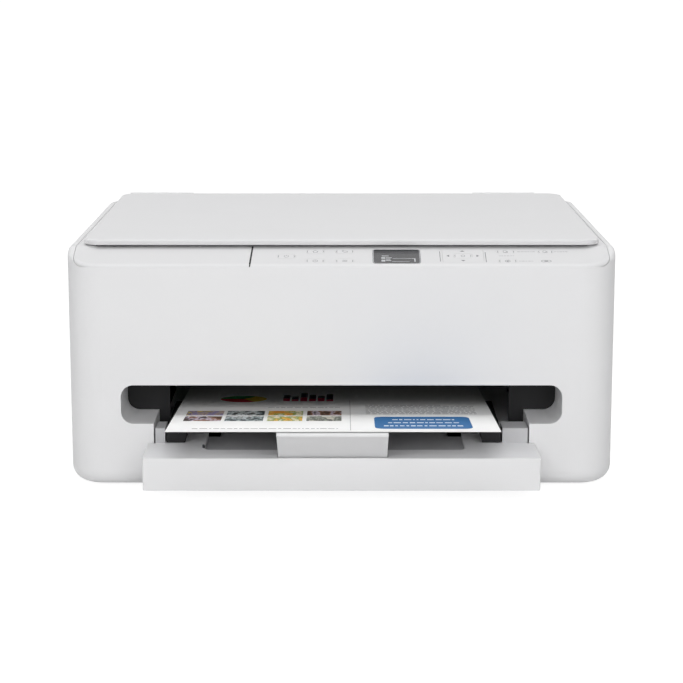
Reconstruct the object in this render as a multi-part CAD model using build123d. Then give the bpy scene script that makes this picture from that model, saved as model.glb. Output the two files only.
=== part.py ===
from build123d import *
import math
import os

os.makedirs("parts", exist_ok=True)

# The printer stands on the floor at z = 0. While it is drawn, y = 0 is the body's front face and y grows
# towards the back, x grows to the right as seen from the front. On export the whole printer is shifted
# along y so that the origin lies at the bottom centre of its bounding box.

# Clearances
slide_gap = 0.3
fit_gap = 0.15
running_gap = 0.05
touch_gap = 0.2

# Body casing
body_width = 372.0
body_depth = 297.0
ground_clearance = 2.5
rim_height = 164.0
corner_radius = 24.0
bottom_round = 11.0
rim_round = 3.0
shell_wall = 3.0
rim_width = 5.2
rim_band_bottom = 146.0
pan_thickness = 1.6
pan_opening_inset = 16.0
foot_radius = 9.0
foot_inset = 34.0
foot_edge_round = 0.8
tray_rail_half = 3.0
tray_rail_setback = 5.0
tray_rail_overrun = 20.0
screw_radius = 1.5
screw_head_radius = 3.2
screw_head_thickness = 1.6
screw_length = 8.0
screw_upper = 134.5
screw_lower = 43.0

# Top unit: scanner and operation panel
panel_crease = 28.0
panel_slope = 18.0
crease_round = 10.0
panel_skin = 2.2
panel_bottom = 153.6
panel_corner = 6.0
panel_split_x = -60.2
panel_split_foot_x = -61.6
panel_split_gap = 0.8
unit_swing_gap = 2.8
unit_open_angle = 30.0
unit_bottom = 138.0
bezel_thickness = 2.4
bezel_skirt = 9.0
scanner_wall = 2.0
scanner_floor = 2.5
scanner_half_width = 163.5
scanner_front = 5.0
scanner_front_height = 147.5
scanner_corner = 3.0
ridge_top = 145.0
ridge_half_width = 4.0
scan_bar_left = -150.0
scan_bar_width = 22.0
scan_bar_margin = 4.0
scan_bar_corner = 2.0
scan_bar_saddle = 10.0
scan_lens_half = 1.5
scan_lens_margin = 9.0
scan_lens_depth = 0.8
hinge_from_back = 3.5
hinge_below_top = 5.6
hinge_pin_radius = 1.5
hinge_ear_radius = 2.7
hinge_boss_gap = 1.2
hinge_boss_width = 6.8
hinge_pin_reach = 4.4
hinge_pin_inset = 1.0
hinge_boss_front = 5.0
hinge_boss_drop = 4.0

# Scan window and document cover
glass_half_width = 154.0
glass_front = 41.0
glass_back = 267.0
glass_thickness = 3.0
glass_lap = 4.0
glass_opening_round = 4.0
cover_half_width = 176.0
cover_front = 24.0
cover_back = 287.0
cover_gap = 1.0
cover_thickness = 4.9
cover_front_thickness = 3.7
cover_corner = 12.0
cover_edge_round = 1.6
pad_margin = 2.0
pad_corner = 6.0
cover_barrel_radius = 2.3
cover_eyelid_radius = 3.4
cover_eyelid_rise = 0.5
cover_eyelid_lap = 0.6
cover_axis_setback = 0.5
cover_web_reach = 2.0
cover_pin_radius = 1.2
cover_hinge_spans = [(-170.0, -120.0), (106.0, 155.0)]
cover_ear_width = 4.0
cover_barrel_gap = 0.4
cover_relief_gap = 0.5

# Display and keys, placed on the sloping panel: x, distance down from the crease, width, height
display_place = (37.1, 16.05, 32.0, 21.5)
display_corner = 2.2
display_thickness = 1.6
display_module_trim = 4.5
key_places = {
    "key_power": (-37.2, 15.9, 12.4, 6.8),
    "key_home": (-17.7, 8.6, 12.4, 6.8),
    "key_back": (2.2, 8.6, 12.4, 6.8),
    "key_info": (-17.7, 22.8, 12.4, 6.8),
    "key_menu": (2.2, 22.8, 12.4, 6.8),
    "key_navigation": (81.9, 15.2, 27.6, 20.6),
    "key_ok": (81.9, 15.2, 12.6, 6.8),
    "key_copy_mono": (111.1, 9.0, 12.4, 6.4),
    "key_copy_colour": (138.0, 9.0, 10.6, 6.4),
    "key_stop": (111.6, 23.1, 12.4, 6.4),
}
key_corner = 2.8
key_gap = 0.15
key_flange = 0.7
key_flange_thickness = 0.8
key_travel = 0.6
board_depth = 6.2
board_thickness = 1.6
board_place = (53.0, 14.6, 214.0, 22.0)
board_corner = 0.5
switch_size = 3.5
panel_post_radius = 2.0

# Output slot in the front face
slot_half_width = 149.5
slot_bottom = 46.1
slot_top = 72.9
slot_corner = 8.5
notch_half_width = 127.5
notch_bottom = 9.5
slot_depth = 45.0
sleeve_wall = 2.0
liner_thickness = 2.0
liner_top = 77.0
liner_bottom = 33.4
exit_hood_depth = 14.0
exit_left = -120.0
exit_right = 117.0
exit_top = 68.0

# Paper path
paper_width = 215.9
paper_length = 279.4
paper_centre = -5.4
paper_level = 60.0
sheet_thickness = 0.25
sheet_front = -75.3
sheet_front_top = 58.4
sheet_slope = 4.9

# Paper tray
tray_extension = 42.5
tray_front_half_width = 131.5
tray_front_bottom = 10.7
tray_top = 32.7
tray_front_thickness = 3.0
tray_skirt = 2.0
tray_front_corner = 1.0
tray_front_edge_round = 0.4
tub_half_width = 125.5
tub_back = 246.0
tub_wall = 2.0
tub_back_height = 21.0
tub_step_margin = 10.0
tray_cover_thickness = 3.6
tray_cover_back = 195.0
tray_cover_half_width = 126.5
output_well_left = -92.1
output_well_right = 82.9
output_well_front = -18.7
output_well_depth = 2.6
output_well_corner = 4.0
sheet_rest_depth = 4.0
side_block_height = 10.2
side_block_depth = 21.0
side_block_left_inner = -119.9
side_block_right_inner = 109.4
rail_height = 10.5
guide_plate = 3.0
guide_plate_front = 15.0
guide_plate_back = 200.0
guide_foot_reach = 25.0
guide_foot_front = 80.0
guide_foot_back = 110.0
guide_foot_thickness = 1.5
guide_head_height = 9.0
guide_head_left = -119.1
guide_head_inner = 98.7
guide_head_inner_foot = 101.0
guide_head_depth = 90.0
guide_travel = 30.0
neck_front = 30.0
neck_back = 58.0

# Output support flap, hinged at the front of the tray cover
flap_width = 72.0
flap_centre = -5.8
flap_axis_y = -34.0
flap_axis_z = 30.4
flap_angle = 34.0
flap_length = 45.4
flap_thickness = 1.8
flap_lip_radius = 1.6
flap_barrel_radius = 1.9
flap_pin_radius = 1.1
flap_pocket_floor = 28.0
flap_pocket_wall = 1.2
flap_pocket_gap = 0.6
flap_pocket_margin = 4.0
flap_cheek = 2.0
flap_cheek_half = 3.0

# Side frames and carriage
frame_inner = 166.0
frame_thickness = 2.0
frame_front = 60.0
frame_back = 281.0
frame_top = 128.0
frame_riser_front = 268.0
frame_ear_step = 4.0
frame_riser_step = 12.0
frame_ledge_front = 166.0
frame_nose_top = 78.0
shaft_overhang = 1.0
shaft_radius = 4.0
shaft_y = 256.0
shaft_z = 84.0
rail_y = 270.0
rail_sheet = 1.2
rail_bottom = 68.0
rail_top = 126.0
rail_top_flange = 8.0
rail_bottom_flange = 6.0
board_post_radius = 2.5
board_post_inset = 6.0
board_post_rise = 8.0
carriage_left = 80.0
carriage_right = 160.0
carriage_front = 196.0
carriage_back = 250.0
carriage_bottom = 67.5
carriage_top = 110.0
carriage_wall = 2.0
bay_width = 34.0
cartridge_gap = 0.4
nozzle_level = 62.0
nozzle_front = 214.5
nozzle_back = 227.5
nozzle_half_width = 11.0
nozzle_hole_margin = 2.0
carriage_window = 14.0
shaft_sleeve_wall = 4.0
slider_inset = 20.0
slider_thickness = 2.5
slider_rail_gap = 2.0
grip_inset = 30.0
grip_thickness = 3.0
cartridge_corner = 2.0
cartridge_drop = 4.0
cartridge_lid_step = 2.0
cartridge_nose = 8.0
lever_pin_radius = 1.5
lever_axis_y = 199.5
lever_axis_z = 113.5
lever_ear_half = 4.0
lever_ear_root = 6.0
lever_hub_radius = 3.0
lever_arm = 24.0
lever_arm_inset = 3.0
lever_arm_thickness = 2.0
lever_tab = 9.0
lever_tab_half = 8.0
lever_tab_rise = 0.5
lever_pin_reach = 0.9

# Belt drive
pulley_radius = 6.0
pulley_x = 150.0
pulley_z = 104.0
pulley_axle_radius = 2.0
belt_thickness = 1.0
belt_front = 263.0
belt_width = 4.0
pulley_teeth = 16
pulley_tooth_radius = 0.5
pulley_flange = 1.2
motor_radius = 13.0
motor_length = 20.0
motor_edge_round = 1.5
motor_socket = 10.0

# Rollers and gears
feed_y = 238.0
feed_z = 55.0
feed_radius = 5.0
eject_y = 203.0
eject_radius = 4.7
roller_shaft_radius = 3.0
pinch_radius = 2.7
pinch_shaft_radius = 1.5
roller_count = 5
roller_margin = 3.0
feed_sleeve_gap = 4.0
pinch_sleeve_gap = 8.0
gear_module = 0.8
gear_addendum = 0.8
gear_dedendum = 1.1
gear_root_share = 0.3
gear_tip_share = 0.12
feed_teeth = 30
idler_teeth = 20
pinion_teeth = 12
pinion_angle = -45.0
gear_width = 3.6
gear_side_gap = 0.8
idler_bore_radius = 2.0
feed_motor_radius = 10.8
feed_motor_length = 25.0
feed_motor_edge_round = 1.2
pinion_shaft_radius = 1.6
pinion_shaft_reach = 8.0
pinion_hole_radius = 3.4

# Platen and parking station
beam_roller_gap = 4.0
beam_top = 56.0
beam_bottom = 50.0
platen_rib_count = 24
platen_rib_margin = 3.0
platen_rib_half = 0.6
platen_station_gap = 6.0
station_inset = 4.0
station_overhang = 2.0
station_floor = 2.0
cap_wall = 2.0
cap_floor = 3.0
wiper_inset = 5.0
wiper_thickness = 1.0

# Turn guide, pickup arm and rear cover
turn_y = 268.0
turn_z = 38.0
turn_inner_radius = 17.0
turn_outer_radius = 20.0
turn_block_front = 262.0
turn_guide_left_gap = 3.0
turn_guide_wall = 4.0
turn_guide_foot = 4.0
turn_guide_foot_back = 6.0
turn_guide_foot_lap = 3.0
pickup_axis_y = 249.0
pickup_axis_z = 44.0
pickup_roller_y = 222.0
pickup_roller_radius = 7.0
pickup_roller_width = 20.0
pickup_roller_edge = 0.4
roller_notch_margin = 10.0
pickup_pin_radius = 2.0
pickup_ears = (-14.0, 14.0)
pickup_ear_width = 3.0
pickup_ear_front = 5.0
pickup_ear_half = 4.0
pickup_hub_radius = 4.0
pickup_arm_half = 3.0
pickup_arm_width = 6.0
rear_cover_left = -120.0
rear_cover_right = 110.0
rear_cover_bottom = 14.0
rear_cover_top = 63.0
rear_bulge = 18.0
rear_cover_wall = 2.5
rear_rib_count = 7
rear_rib_margin = 10.0
rear_rib_half = 1.0
rear_cover_round = 5.0

# Electrical parts
psu_left = -164.0
psu_front = 110.0
psu_top = 29.5
psu_corner = 2.0
vent_count = 9
vent_start = 12.0
vent_pitch = 12.0
vent_width = 3.0
vent_margin = 6.0
vent_depth = 1.0
inlet_left = -158.0
inlet_right = -136.0
inlet_bottom = 13.5
inlet_top = 33.5
inlet_front = 283.0
inlet_proud = 0.4
inlet_well_depth = 11.0
inlet_well_half = 8.2
inlet_well_radius = 4.2
inlet_pin_spread = 4.2
inlet_pin_radius = 1.2
inlet_pin_setback = 2.0
logic_y = 283.0
logic_left = 60.0
logic_right = 160.0
logic_bottom = 66.0
logic_top = 124.0
usb_left = 140.0
usb_bottom = 71.0
usb_width = 12.0
usb_height = 11.0
usb_proud = 0.2
usb_wall = 1.0
usb_well_depth = 8.0
usb_tongue_half = 2.8
usb_tongue_rise = 4.0
usb_tongue_height = 3.0
chip_thickness = 1.6
capacitor_count = 4
capacitor_left = 100.0
capacitor_pitch = 10.0
capacitor_radius = 3.0
capacitor_height = 6.0

# Chips on the main board: left, bottom, width, height
chip_places = [(80.0, 100.0, 18.0, 18.0), (108.0, 98.0, 12.0, 14.0), (120.0, 80.0, 8.0, 8.0),
               (76.0, 78.0, 10.0, 6.0)]

# Posts under the panel that its board is screwed to: x and distance down from the crease
board_posts = [(-49.0, 14.0), (13.0, 16.0), (60.5, 14.0), (125.0, 16.0), (155.0, 16.0)]

# Values that follow from the ones above
body_half = body_width / 2
slope_sin = math.sin(math.radians(panel_slope))
slope_cos = math.cos(math.radians(panel_slope))
slope_tan = math.tan(math.radians(panel_slope))
opening_half = body_half - rim_width
unit_half = opening_half - slide_gap
opening_back = body_depth - rim_width
unit_back = opening_back - unit_swing_gap
hinge_y = unit_back - hinge_from_back
hinge_z = rim_height - hinge_below_top
bezel_bottom = rim_height - bezel_thickness
cover_bottom = rim_height + cover_gap
cover_top = cover_bottom + cover_thickness
cover_axis_y = cover_back + cover_axis_setback
cover_axis_z = cover_top + cover_eyelid_rise - cover_eyelid_radius
pan_bottom = ground_clearance + shell_wall + slide_gap
pan_top = pan_bottom + pan_thickness
tray_front_y = -tray_extension
tub_front = tray_front_y + tray_front_thickness
tub_floor = tray_front_bottom + tub_wall
tray_plate_bottom = tray_top - tray_cover_thickness
frame_outer = frame_inner + frame_thickness
carriage_centre_wall = (carriage_left + carriage_right) / 2
gear_outer_x = -(frame_outer + gear_side_gap + gear_width)
gear_inner_x = -(frame_outer + gear_side_gap)
feed_gear_radius = gear_module * feed_teeth / 2
idler_radius = gear_module * idler_teeth / 2
pinion_radius = gear_module * pinion_teeth / 2
idler_y = (feed_y + eject_y) / 2
idler_z = feed_z - math.sqrt((feed_gear_radius + idler_radius) ** 2 - ((feed_y - eject_y) / 2) ** 2)
pinion_y = feed_y + (feed_gear_radius + pinion_radius) * math.cos(math.radians(pinion_angle))
pinion_z = feed_z + (feed_gear_radius + pinion_radius) * math.sin(math.radians(pinion_angle))
pinch_z = feed_z + feed_radius + slide_gap + pinch_radius
beam_front = eject_y + eject_radius + beam_roller_gap
beam_back = feed_y - feed_radius - beam_roller_gap
pickup_roller_z = tub_floor + slide_gap + pickup_roller_radius
guide_face = paper_width / 2 + slide_gap
flap_sin = math.sin(math.radians(flap_angle))
flap_cos = math.cos(math.radians(flap_angle))
flap_pocket_back = flap_axis_y + flap_length + flap_pocket_margin
turn_guide_left = inlet_right + turn_guide_left_gap
rear_rib_left = rear_cover_left + rear_rib_margin
rear_rib_pitch = (rear_cover_right - rear_rib_margin - rear_rib_left) / (rear_rib_count - 1)
origin_depth = (body_depth + rear_bulge + sheet_front) / 2


def block(x0, x1, y0, y1, z0, z1):
    """A box between two corners."""
    centre = Pos((x0 + x1) / 2, (y0 + y1) / 2, (z0 + z1) / 2)
    return centre * Box(abs(x1 - x0), abs(y1 - y0), abs(z1 - z0))


def rounded_block(x0, x1, y0, y1, z0, z1, radius):
    """A box with its four upright edges rounded."""
    plan = Pos((x0 + x1) / 2, (y0 + y1) / 2, z0) * RectangleRounded(x1 - x0, y1 - y0, radius)
    return extrude(plan, z1 - z0)


def rod_x(x0, x1, y, z, radius):
    """A round bar along x."""
    return Pos((x0 + x1) / 2, y, z) * Rot(0, 90, 0) * Cylinder(radius, x1 - x0)


def rod_y(x, y0, y1, z, radius):
    """A round bar along y."""
    return Pos(x, (y0 + y1) / 2, z) * Rot(90, 0, 0) * Cylinder(radius, y1 - y0)


def rod_z(x, y, z0, z1, radius):
    """An upright round bar."""
    return Pos(x, y, (z0 + z1) / 2) * Cylinder(radius, z1 - z0)


def prism_x(points, x0, x1):
    """A solid with the outline given as (y, z) points, running from x0 to x1."""
    outline = make_face(Polyline(points, close=True))
    return extrude(Plane.YZ.offset(x0) * outline, x1 - x0)


def prism_y(points, y0, y1):
    """A solid with the outline given as (x, z) points, running from y0 to y1."""
    outline = make_face(Polyline(points, close=True))
    return extrude(Plane.XZ.offset(-y1) * outline, y1 - y0)


def rounded_front_block(x0, x1, y0, y1, z0, z1, radius):
    """A box with its four edges along y rounded."""
    outline = Pos((x0 + x1) / 2, (z0 + z1) / 2, 0) * RectangleRounded(x1 - x0, z1 - z0, radius)
    return extrude(Plane.XZ.offset(-y1) * outline, y1 - y0)


def save(name, *solids):
    """Write one sub-part, shifted so that the origin is at the bottom centre."""
    shape = solids[0] if len(solids) == 1 else Compound(children=list(solids))
    export_step(Pos(0, -origin_depth, 0) * shape, f"parts/{name}.step")


# Casing

def plan_prism(inset, z0, z1):
    """The body's rounded plan, drawn in from the surface and extruded."""
    return rounded_block(
        inset - body_half, body_half - inset, inset, body_depth - inset, z0, z1, corner_radius - inset
    )


def side_profile(inset):
    """The body's side outline: level top, soft crease, then the slope of the operation panel."""
    top = rim_height - inset
    crease_y = panel_crease - inset * (1 / slope_cos - 1) / slope_tan
    tangent = crease_round * math.tan(math.radians(panel_slope / 2))
    front = -corner_radius
    back = body_depth + corner_radius
    slope_end = (crease_y - tangent * slope_cos, top - tangent * slope_sin)
    flat_start = (crease_y + tangent, top)
    half_turn = math.radians(panel_slope / 2)
    arc_middle = (
        flat_start[0] - crease_round * math.sin(half_turn),
        top - crease_round * (1 - math.cos(half_turn)),
    )
    slope_start = (front, top - (crease_y - front) * slope_tan)
    lines = [
        Line(slope_start, slope_end),
        ThreePointArc(slope_end, arc_middle, flat_start),
        Line(flat_start, (back, top)),
        Line((back, top), (back, 0)),
        Line((back, 0), (front, 0)),
        Line((front, 0), slope_start),
    ]
    return extrude(Plane.YZ.offset(-body_width) * make_face(Curve() + lines), 2 * body_width)


def is_rim_edge(edge):
    """True for the edges round the top of the body, false for the crease across it."""
    size = edge.bounding_box().size
    middle = edge.center()
    is_crease = size.X > body_half and panel_crease / 2 < middle.Y < body_depth / 2
    return middle.Z > rim_band_bottom and size.Z < rim_band_bottom / 4 and not is_crease


def body_envelope(inset):
    """The whole body's outer form with its soft edges, drawn in by inset."""
    solid = plan_prism(inset, ground_clearance + inset, rim_height) & side_profile(inset)
    lowest = ground_clearance + inset + touch_gap
    solid = fillet(solid.edges().filter_by(lambda e: e.center().Z < lowest), bottom_round - inset)
    return fillet(solid.edges().filter_by(is_rim_edge), max(rim_round - inset, fit_gap * 5))


def top_opening(half, back, z0, z1):
    """The plan of the opening that takes the top unit, open to the front."""
    front_part = block(-half, half, -corner_radius, body_depth / 2, z0, z1)
    corner = corner_radius - rim_width
    return front_part + rounded_block(-half, half, corner_radius, back, z0, z1, corner)


def panel_region(half, bottom, back):
    """The space that the panel fills above its lower edge, with rounded lower corners."""
    top = bottom + 2 * corner_radius
    return rounded_front_block(-half, half, -corner_radius, back, bottom, top, panel_corner)


def slot_outline(grow, y0, y1):
    """The front opening: a wide rounded slot with the tray's notch below it."""
    wide = rounded_front_block(
        -slot_half_width - grow, slot_half_width + grow, y0, y1,
        slot_bottom - grow, slot_top + grow, slot_corner + grow,
    )
    notch_side = notch_half_width + grow
    notch = block(-notch_side, notch_side, y0, y1, notch_bottom - grow, (slot_bottom + slot_top) / 2)
    return wide + notch


def rear_opening(grow, y0, y1):
    """The opening in the back wall that the rear cover fills."""
    return rounded_front_block(
        rear_cover_left - grow, rear_cover_right + grow, y0, y1,
        rear_cover_bottom - grow, rear_cover_top + grow, bottom_round / 2 + grow,
    )


def screw_places():
    """Where the four case screws go through the back wall."""
    side = body_half - corner_radius - foot_radius
    return [(x, z) for x in (-side, side) for z in (screw_upper, screw_lower)]


def outer_shell():
    """The casing: walls, rounded lower edge, rim round the top unit, and the slot's sleeve."""
    hollow = body_envelope(shell_wall) & block(
        -body_width, body_width, -1, body_depth + 1, 0, rim_band_bottom
    )
    rim_hole = top_opening(opening_half, opening_back, rim_band_bottom - 1, rim_height + 1)
    below_panel = plan_prism(shell_wall, rim_band_bottom - 1, rim_height + 1)
    shell = body_envelope(0) - hollow - (rim_hole & below_panel)
    shell -= panel_region(opening_half, panel_bottom - touch_gap, body_depth / 2)
    shell -= plan_prism(pan_opening_inset, 0, pan_bottom + 1)
    sleeve = slot_outline(sleeve_wall, shell_wall / 2, slot_depth) - slot_outline(0, 0, slot_depth + 1)
    shell = shell - slot_outline(0, -1, shell_wall + 1) + sleeve
    shell -= rear_opening(slide_gap, body_depth - shell_wall - 1, body_depth + 1)
    shell -= block(
        inlet_left - slide_gap, inlet_right + slide_gap, body_depth - shell_wall - 1, body_depth + 1,
        inlet_bottom - slide_gap, inlet_top + slide_gap,
    )
    shell -= block(
        usb_left - 2 * slide_gap, usb_left + usb_width + 2 * slide_gap,
        body_depth - shell_wall - 1, body_depth + 1,
        usb_bottom - 2 * slide_gap, usb_bottom + usb_height + 2 * slide_gap,
    )
    for x, z in screw_places():
        shell -= rod_y(x, body_depth - shell_wall - 1, body_depth + 1, z, screw_radius)
    for x0, x1 in cover_hinge_spans:
        for y, z in swung_cover_axes():
            shell -= rod_x(x0 - 1, x1 + 1, y, z, cover_eyelid_radius + cover_relief_gap)
    return shell


def swung_cover_axes():
    """Where the document cover's hinge axis passes over the rear rim as the top unit opens."""
    places = []
    steps = 4
    for k in range(1, steps + 1):
        turn = math.radians(unit_open_angle * k / steps)
        dy = cover_axis_y - hinge_y
        dz = cover_axis_z - hinge_z
        places.append((
            hinge_y + dy * math.cos(turn) + dz * math.sin(turn),
            hinge_z - dy * math.sin(turn) + dz * math.cos(turn),
        ))
    return places


def case_screws():
    """Four pan-head screws in the back wall."""
    screws = []
    for x, z in screw_places():
        head = rod_y(x, body_depth, body_depth + screw_head_thickness, z, screw_head_radius)
        head = fillet(head.edges().group_by(Axis.Y)[-1], screw_head_thickness / 2)
        shank = rod_y(x, body_depth - screw_length, body_depth, z, screw_radius)
        recess = screw_head_radius / 2
        slot = block(x - recess, x + recess, body_depth + screw_head_thickness / 2,
                     body_depth + screw_head_thickness + 1, z - slide_gap, z + slide_gap)
        cross = block(x - slide_gap, x + slide_gap, body_depth + screw_head_thickness / 2,
                      body_depth + screw_head_thickness + 1, z - recess, z + recess)
        screws.append(head + shank - slot - cross)
    return screws


def foot_places():
    """The four rubber feet, near the corners."""
    side = body_half - foot_inset
    return [(x, y) for x in (-side, side) for y in (foot_inset, body_depth - foot_inset)]


def base_pan():
    """The bottom plate inside the casing, with the two rails that the tray slides on."""
    inset = shell_wall + slide_gap
    slab = block(-body_width, body_width, -1, body_depth + 1, pan_bottom - slide_gap, pan_top)
    pan = body_envelope(inset) & slab
    rail_x = tub_half_width - 3 * tub_wall
    for side in (-1, 1):
        middle = side * rail_x
        pan += block(middle - tray_rail_half, middle + tray_rail_half, slot_depth + tray_rail_setback,
                     tub_back + tray_rail_overrun, pan_top, rail_height)
    for x, y in foot_places():
        pan -= rod_z(x, y, pan_bottom - 1, pan_bottom + pan_thickness / 2, foot_radius / 2 + running_gap)
    return pan


def rubber_feet():
    """Four feet pressed up into the pan."""
    feet = []
    for x, y in foot_places():
        pad = rod_z(x, y, 0, pan_bottom, foot_radius)
        pad = fillet(pad.edges().group_by(Axis.Z)[0], foot_edge_round)
        feet.append(pad + rod_z(x, y, pan_bottom, pan_bottom + pan_thickness / 2, foot_radius / 2))
    return feet


def slot_liner():
    """The black inner frame that closes the slot's back, with the paper exit in it."""
    half = slot_half_width + sleeve_wall
    back = slot_depth + liner_thickness
    plate = rounded_front_block(-half, half, slot_depth, back, liner_bottom, liner_top, slot_corner / 2)
    exit_hole = block(exit_left, exit_right, slot_depth - 1, back + 1, 0, exit_top)
    hood = block(
        exit_left, exit_right, slot_depth, slot_depth + exit_hood_depth, exit_top, exit_top + liner_thickness
    )
    return plate - exit_hole + hood


# Top unit

def on_panel(x, down, depth):
    """A place on the sloping panel, with z out of the surface and y up the slope."""
    surface = Vector(x, panel_crease - down * slope_cos, rim_height - down * slope_sin)
    outward = Vector(0, -slope_sin, slope_cos)
    return Plane(origin=surface - outward * depth, x_dir=(1, 0, 0), z_dir=outward)


def panel_pill(place, grow, depth, thickness, radius):
    """A rounded plate set into the panel, its top at the given depth under the surface."""
    x, down, width, height = place
    outline = RectangleRounded(width + 2 * grow, height + 2 * grow, radius + grow)
    return extrude(on_panel(x, down, depth + thickness) * outline, thickness)


def panel_part(side):
    """The sloping top and front of the panel on one side of its split: -1 is the left, 1 the right."""
    lean = (panel_split_x - panel_split_foot_x) / (rim_height - panel_bottom)
    near = side * panel_split_gap / 2
    far = side * unit_half
    outline = [
        (panel_split_x + near + lean, rim_height + 1),
        (panel_split_foot_x + near - lean, panel_bottom - 1),
        (far, panel_bottom - 1),
        (far, rim_height + 1),
    ]
    skin = body_envelope(0) & panel_region(unit_half, panel_bottom, panel_crease - touch_gap / 2)
    return (skin & prism_y(outline, -1, panel_crease)) - body_envelope(panel_skin)


def operation_panel():
    """The right part of the panel, with openings for the display and keys and posts for the board."""
    panel = panel_part(1)
    panel -= panel_pill(display_place, fit_gap, -1, panel_skin + 2, display_corner)
    for name, place in key_places.items():
        if name != "key_ok":
            panel -= panel_pill(place, key_gap, -1, panel_skin + 2, key_corner)
    for x, down in board_posts:
        outline = on_panel(x, down, board_depth) * Circle(panel_post_radius)
        panel += extrude(outline, board_depth - panel_skin / 2)
    return panel


def panel_blank_cover():
    """The left part of the panel, with nothing on it."""
    return panel_part(-1)


def display_window():
    """The dark window flush with the panel."""
    return panel_pill(display_place, 0, 0, display_thickness, display_corner)


def panel_board():
    """The circuit board under the panel, with the display module and one switch under each key."""
    board = panel_pill(board_place, 0, board_depth, board_thickness, board_corner)
    x, down, width, height = display_place
    module_place = (x, down, width - display_module_trim, height - display_module_trim)
    module_top = display_thickness + touch_gap
    solids = board + panel_pill(module_place, 0, module_top, board_depth - module_top, board_corner)
    switch_top = panel_skin + key_flange_thickness + slide_gap + key_travel + touch_gap
    for name, (x, down, width, height) in key_places.items():
        middle = down + height / 3 if name == "key_navigation" else down
        place = (x, middle, switch_size, switch_size)
        solids += panel_pill(place, 0, switch_top, board_depth - switch_top, board_corner)
    return solids


def key_cap(name):
    """A key flush with the panel, held from below by a thin flange."""
    place = key_places[name]
    flange_depth = panel_skin + slide_gap
    cap = panel_pill(place, 0, 0, flange_depth + key_flange_thickness, key_corner)
    cap += panel_pill(place, key_flange, flange_depth, key_flange_thickness, key_corner)
    if name == "key_navigation":
        middle = key_places["key_ok"]
        cap -= panel_pill(middle, key_flange + key_gap, flange_depth - 2 * slide_gap, board_depth, key_corner)
        cap -= panel_pill(middle, key_gap, -1, panel_skin + 2, key_corner)
    return cap


def scanner_housing():
    """The tub under the glass, with the scan bar's ridge and a wall before the panel's board."""
    half = scanner_half_width
    inner_half = half - scanner_wall
    tub = rounded_block(-half, half, scanner_front, unit_back, unit_bottom, bezel_bottom, scanner_corner)
    tub -= rounded_block(
        -inner_half, inner_half, scanner_front + scanner_wall, unit_back - scanner_wall,
        unit_bottom + scanner_floor, rim_height, scanner_corner - scanner_wall,
    )
    wall_front = panel_crease + 1
    tub += block(-half, half, wall_front, wall_front + scanner_wall, unit_bottom, bezel_bottom)
    ridge_y = (glass_front + glass_back) / 2
    ridge_end = glass_half_width + scanner_wall
    tub += block(
        -ridge_end, ridge_end, ridge_y - ridge_half_width, ridge_y + ridge_half_width, unit_bottom, ridge_top
    )
    tub -= block(-inner_half, inner_half, 0, wall_front, scanner_front_height, rim_height)
    return tub & body_envelope(panel_skin + fit_gap)


def scanner_bezel():
    """The frame round the glass, with side skirts, the hinge bosses and the cover's hinge ears."""
    plate = top_opening(unit_half, unit_back, bezel_bottom, rim_height)
    bezel = plate & body_envelope(0)
    skirt = top_opening(unit_half, unit_back, bezel_bottom - bezel_skirt, bezel_bottom)
    skirt -= top_opening(unit_half - scanner_wall, unit_back - scanner_wall, 0, rim_height)
    bezel += skirt & block(-body_width, body_width, 0, unit_back - corner_radius, 0, rim_height)
    bezel &= block(-body_width, body_width, panel_crease + touch_gap / 2, body_depth, 0, rim_height + 1)
    inner = glass_half_width - glass_lap
    bezel -= rounded_block(
        -inner, inner, glass_front + glass_lap, glass_back - glass_lap, 0, rim_height + 1,
        glass_opening_round,
    )
    for side in (-1, 1):
        boss_near = side * (frame_outer + hinge_boss_gap)
        boss_far = side * (frame_outer + hinge_boss_gap + hinge_boss_width)
        boss = block(boss_near, boss_far, hinge_y - hinge_boss_front, unit_back,
                     hinge_z - hinge_boss_drop, bezel_bottom)
        bezel += boss & top_opening(unit_half, unit_back, 0, bezel_bottom)
    bezel -= rod_x(-body_half, body_half, hinge_y, hinge_z, hinge_pin_radius)
    for x0, x1 in cover_hinge_spans:
        groove = rod_x(x0, x1, cover_axis_y, cover_axis_z, cover_barrel_radius + cover_barrel_gap)
        bezel -= groove
        for ear in (x0, x1 - cover_ear_width):
            foot = block(ear, ear + cover_ear_width,
                         cover_axis_y - cover_barrel_radius + 2 * cover_barrel_gap, unit_back,
                         bezel_bottom, cover_axis_z)
            foot &= top_opening(unit_half, unit_back, bezel_bottom, cover_top)
            bezel += foot + rod_x(ear, ear + cover_ear_width, cover_axis_y, cover_axis_z, cover_barrel_radius)
        bezel -= rod_x(x0, x1, cover_axis_y, cover_axis_z, cover_pin_radius)
    return bezel


def hinge_pins():
    """Steel pins: two carry the top unit in the side frames, two carry the document cover."""
    pins = []
    for side in (-1, 1):
        near = side * (frame_inner - hinge_boss_gap)
        far = side * (frame_outer + hinge_pin_reach)
        pins.append(rod_x(min(near, far), max(near, far), hinge_y, hinge_z, hinge_pin_radius))
    for x0, x1 in cover_hinge_spans:
        left = x0 + hinge_pin_inset
        right = x1 - hinge_pin_inset
        pins.append(rod_x(left, right, cover_axis_y, cover_axis_z, cover_pin_radius))
    return pins


def platen_glass():
    """The scanner's glass, bonded under the bezel."""
    return block(
        -glass_half_width, glass_half_width, glass_front, glass_back,
        bezel_bottom - glass_thickness, bezel_bottom,
    )


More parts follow.
